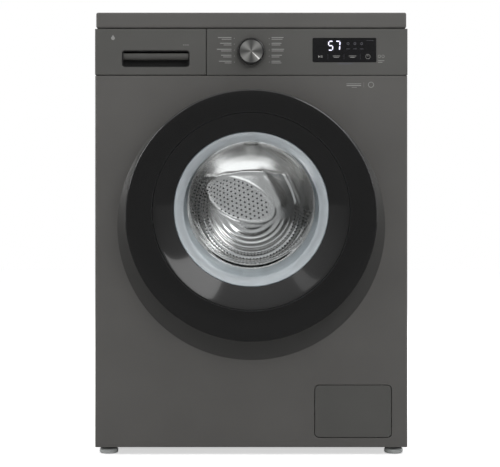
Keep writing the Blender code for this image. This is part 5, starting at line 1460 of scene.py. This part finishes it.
class WASHER_OT_drawer(bpy.types.Operator):
    """Detergent drawer: front with its finger pocket, tray, cap and housing"""
    bl_idname = "washer.drawer"
    bl_label = "Detergent drawer"

    def execute(self, context):
        carried("drawer_face", "drawer_front", "grey_moulding", 0.0010, 3)
        mid_x, mid_z, y = POCKET_X, POCKET_Z, PANEL_Y
        half_x, half_z = POCKET_WIDTH / 2 - POCKET_PLAY, POCKET_HEIGHT / 2 - POCKET_PLAY
        # The pocket is lined in dark moulding, darker than the drawer front: painted shade for the recess
        loops = []
        for depth, inset, corner in ((0.0245, 0.0, 0.0052), (0.0004, 0.0, 0.0052), (0.0002, 0.0006, 0.0048),
                                     (0.0012, 0.0012, 0.0044),
                                     (0.0100, 0.0016, 0.0042), (0.0180, 0.0024, 0.0050),
                                     (0.0215, 0.0050, 0.0070), (0.0225, 0.0085, 0.0065)):
            outline = flat_rounded(mid_x - half_x + inset, mid_x + half_x - inset, mid_z - half_z + inset,
                                   mid_z + half_z - inset, corner, 6)
            loops.append([(x, y + depth, z) for x, z in outline])
        liner = stack("liner", loops, "dark_moulding", sharp=50)
        outline = [(0.0040, 0.0105), (0.0036, 0.0050), (0.0060, 0.0005), (0.0110, -0.0018), (0.0170, -0.0010),
                   (0.0205, 0.0030), (0.0205, 0.0105)]
        ends = [[(x, y + a, mid_z + b) for a, b in rounded([*outline], 0.003, 4)]
                for x in (mid_x - half_x + 0.0022, mid_x + half_x - 0.0022)]
        grip = stack("grip", ends, "grey_moulding")
        drop = []
        for k in range(24):
            a = math.radians(90 + 15 * k)
            reach = 0.0036 * (1.0 + (0.75 if k == 0 else 0.28 if k in (1, 23) else 0.0))
            drop.append((-0.2655 + reach * math.cos(a), 0.8005 + reach * math.sin(a)))
        mark = strip("drop", drop, y - MARK_RISE, y + MARK_ROOT, "print")
        dashes = [bar(-0.1310 + 0.0040 * k, -0.1282 + 0.0040 * k, 0.7868, 0.7879, y) for k in range(3)]
        filed(merged("drawer_pocket", [liner, grip, mark, *dashes]), "dark_moulding", "drawer")
        carried("drawer_bin", "drawer_tray", "pale_moulding", 0.0007)
        carried("siphon_cap", "softener_cap", "pale_moulding", 0.0008)
        carried("drawer_case", "dispenser_housing", "pale_moulding", 0.0008)
        return {"FINISHED"}


class WASHER_OT_service_flap(bpy.types.Operator):
    """Service flap, pump filter and pump"""
    bl_idname = "washer.service_flap"
    bl_label = "Service flap"

    def execute(self, context):
        carried("flap_plate", "service_flap", "grey_moulding", 0.0008, 3)
        carried("filter_cap", "pump_filter", "dark_moulding", 0.0006)
        carried("pump_case", "drain_pump", "dark_moulding", 0.0008)
        carried("pump_wheel", "pump_impeller", "pale_moulding", 0.0004)
        return {"FINISHED"}


# ---- back and works ----
BACK_SCREW_X = 0.286
BACK_SCREW_Z = (0.05, 0.24, 0.43, 0.62, 0.795)
TRANSIT_BOLTS = ((-0.235, 0.60), (0.235, 0.60), (-0.235, 0.33), (0.235, 0.33))  # (x, z) of their caps


class WASHER_OT_back(bpy.types.Operator):
    """Back sheet, access cover, screws, vents, valve and gland"""
    bl_idname = "washer.back"
    bl_label = "Back"

    def execute(self, context):
        carried("back_sheet", "rear_panel", "painted_steel", 0.0003, 2)
        low, high = corners("rear_access_cover")
        outer = round_size("rear_access_cover")
        rows = level([(low.y, outer - 0.0005), (low.y + 0.0008, outer), (low.y + 0.0016, outer - 0.0005),
                      (low.y + 0.0020, outer - 0.0140),
                      (low.y + 0.0030, outer - 0.0165), (high.y - 0.0012, outer - 0.0220),
                      (high.y - 0.0003, outer - 0.0240),
                      (high.y, outer - 0.0270), (high.y, 0.095), (high.y - 0.0006, 0.092),
                      (high.y - 0.0030, 0.084),
                      (high.y - 0.0036, 0.080), (high.y - 0.0036, 0), (low.y, 0)])
        cover = turned("cover_plate", rows, "painted_steel", segments=144)
        filed(cover, "painted_steel", "cabinet", "rear_access_cover")
        y, out = corners("rear_panel")[1].y, Vector((0, 1, 0))
        places = [(Vector((x, y - 0.0001, z)), out) for x in (-BACK_SCREW_X, BACK_SCREW_X) for z in BACK_SCREW_Z]
        places += [(Vector((x, y - 0.0001, 0.806)), out) for x in (-0.18, -0.06, 0.06)]
        for k in range(8):
            a = math.radians(22.5 + 45 * k)
            places.append((Vector(((outer - 0.007) * math.cos(a), low.y + 0.0015,
                                   AXIS_Z + (outer - 0.007) * math.sin(a))), out))
        made = copies("back_screws", places, screw_stamp(0.0045), "steel_screw")
        filed(made, "zinc_steel", "cabinet")
        # The louvres are pressed in the sheet but coloured dark moulding: painted shade for the vent openings
        slot_loops = [[(sx * 0.0145, sy * 0.0026, 0.0) for sx, sy in ((1, 1), (-1, 1), (-1, -1), (1, -1))],
                      [(sx * 0.0135, sy * 0.0016 + 0.0006, 0.0016) for sx,
                       sy in ((1, 1), (-1, 1), (-1, -1), (1, -1))]]
        stamp = stack("louvre", slot_loops, "painted_steel")
        places = [(Vector((x, y, z)), out) for x in (-0.225, -0.185, -0.145)
                  for z in [0.70 + 0.012 * k for k in range(6)]]
        filed(copies("back_louvres", places, stamp, "dark_moulding"), "dark_moulding", "cabinet")
        stamp = round_stamp([(0, 0.016), (0.0018, 0.0155), (0.0026, 0.0135), (0.0026, 0.008), (0.0012, 0.0065),
                             (0.0012, 0)], 32)
        places = [(Vector((x, y, z)), out) for x, z in TRANSIT_BOLTS]
        filed(copies("transit_bolt_caps", places, stamp, "dark_moulding"), "dark_moulding", "cabinet")
        carried("water_valve", "inlet_valve", "pale_moulding", 0.0006)
        carried("lead_gland", "mains_gland", "dark_moulding", 0.0006)
        return {"FINISHED"}


INNER = {
    "control_board": "circuit_board", "tub_front": "tub_plastic", "tub_rear": "tub_plastic",
    "front_counterweight": "concrete",
    "top_counterweight": "concrete", "heater": "stainless", "stator": "motor_core", "rotor": "zinc_steel",
    "front_bearing": "zinc_steel", "rear_bearing": "zinc_steel", "damper_rod_left": "zinc_steel",
    "damper_rod_right": "zinc_steel",
    "damper_tube_left": "dark_moulding", "damper_tube_right": "dark_moulding", "drain_hose": "hose_rubber",
}


SPRING_TURNS = 17.0
SPRING_HOOK = 0.017  # straight length at each end of a tub spring
WIRE = 0.0016  # its wire's radius


class WASHER_OT_works(bpy.types.Operator):
    """Finishes of the parts inside, and the tub's coil springs"""
    bl_idname = "washer.works"
    bl_label = "Inner works"

    def execute(self, context):
        for node, name in INNER.items():
            mesh = NODES[node].data
            mesh.materials.clear()
            mesh.materials.append(finish(name))
        for node in ("spring_left", "spring_right"):
            low, high = corners(node)
            centre = (low + high) / 2
            base = placed(f"{node}_coil", bpy.data.meshes.new("coil"))
            made = grown(base, "coil", {"Turns": SPRING_TURNS, "Radius": 0.0098,
                                        "Height": high.z - low.z - 2 * SPRING_HOOK, "Wire": WIRE,
                                        "Place": (centre.x, centre.y, low.z + SPRING_HOOK),
                                        "Material": finish("zinc_steel")})
            hooks = []
            for start, end in ((low.z, low.z + SPRING_HOOK), (high.z - SPRING_HOOK, high.z)):
                rows = [(start, 0), (start, WIRE), (end, WIRE), (end, 0)]
                hooks.append(upright("hook", rows, (centre.x, centre.y), "zinc_steel", 12))
                edge = start if start > low.z else end
                rows = [(edge - WIRE, 0), (edge - WIRE, 0.0110), (edge + WIRE, 0.0110), (edge + WIRE, 0)]
                hooks.append(upright("cap", rows, (centre.x, centre.y), "zinc_steel", 20))
            made = merged(f"{node}_wire", [made, *hooks])
            spanning(made, "zinc_steel", ("tub", "cabinet"),
                     ((centre.x, centre.y, low.z + 0.018), (centre.x, centre.y, high.z - 0.018)), node)
        low, high = corners("dispenser_hose")
        place = ((low.x + high.x) / 2, (low.y + high.y) / 2)
        outer, bore = (high.x - low.x) / 2, 0.0186
        rows = [(low.z, bore), (low.z, outer - 0.0003), (low.z + 0.004, outer - 0.0003)]
        ribs = 5
        step = (high.z - low.z - 0.008) / ribs
        for k in range(ribs):
            z = low.z + 0.004 + k * step
            rows += [(z + step * 0.25, outer - 0.0015), (z + step * 0.75, outer)]
        rows += [(high.z - 0.004, outer - 0.0003), (high.z, outer - 0.0003), (high.z, bore)]
        made = upright("bellows_hose", rows, place, "hose_rubber", 64, closed=True)
        spanning(made, "hose_rubber", ("tub", "cabinet"), ((*place, low.z + 0.003), (*place, high.z - 0.003)),
                 "dispenser_hose")
        low, high = corners("sump_hose")
        made = softened("drain_boot", "sump_hose", "hose_rubber", 0.0004)
        spanning(made, "hose_rubber", ("tub", "cabinet"),
                 ((low.x + 0.015, high.y - 0.01, high.z - 0.01), (high.x, low.y, low.z + 0.02)), "sump_hose")
        return {"FINISHED"}


# ---- sidebar ----
OPERATORS = (WASHER_OT_stage, WASHER_OT_cabinet, WASHER_OT_feet, WASHER_OT_door_surround, WASHER_OT_door,
             WASHER_OT_glass,
             WASHER_OT_hinge, WASHER_OT_gasket, WASHER_OT_drum, WASHER_OT_control_panel, WASHER_OT_display,
             WASHER_OT_knob,
             WASHER_OT_drawer, WASHER_OT_service_flap, WASHER_OT_back, WASHER_OT_works)
GROUP_SETTINGS = {"body": WasherBodySettings, "door": WasherDoorSettings, "drum": WasherDrumSettings,
                  "colours": WasherColourSettings, "stage": WasherStageSettings}


class WASHER_PT_panel(bpy.types.Panel):
    bl_idname = "WASHER_PT_panel"
    bl_label = "Washing machine"
    bl_space_type = "VIEW_3D"
    bl_region_type = "UI"
    bl_category = "Washer"

    def draw(self, context):
        for name in GROUP_SETTINGS:
            box = self.layout.box()
            group = settings(name)
            for field in group.bl_rna.properties.keys():
                if field not in ("rna_type", "name"):
                    box.prop(group, field)
        for operator in OPERATORS:
            self.layout.operator(operator.bl_idname)


def register():
    for kind in (*GROUP_SETTINGS.values(), *OPERATORS, WASHER_PT_panel):
        bpy.utils.register_class(kind)
    for name, kind in GROUP_SETTINGS.items():
        setattr(bpy.types.Scene, "washer_" + name, bpy.props.PointerProperty(type=kind))


def unregister():
    for name in GROUP_SETTINGS:
        delattr(bpy.types.Scene, "washer_" + name)
    for kind in (WASHER_PT_panel, *reversed(OPERATORS), *GROUP_SETTINGS.values()):
        bpy.utils.unregister_class(kind)


def main():
    register()
    for operator in OPERATORS:
        family, action = operator.bl_idname.split(".")
        getattr(getattr(bpy.ops, family), action)()


if __name__ == "__main__":
    main()
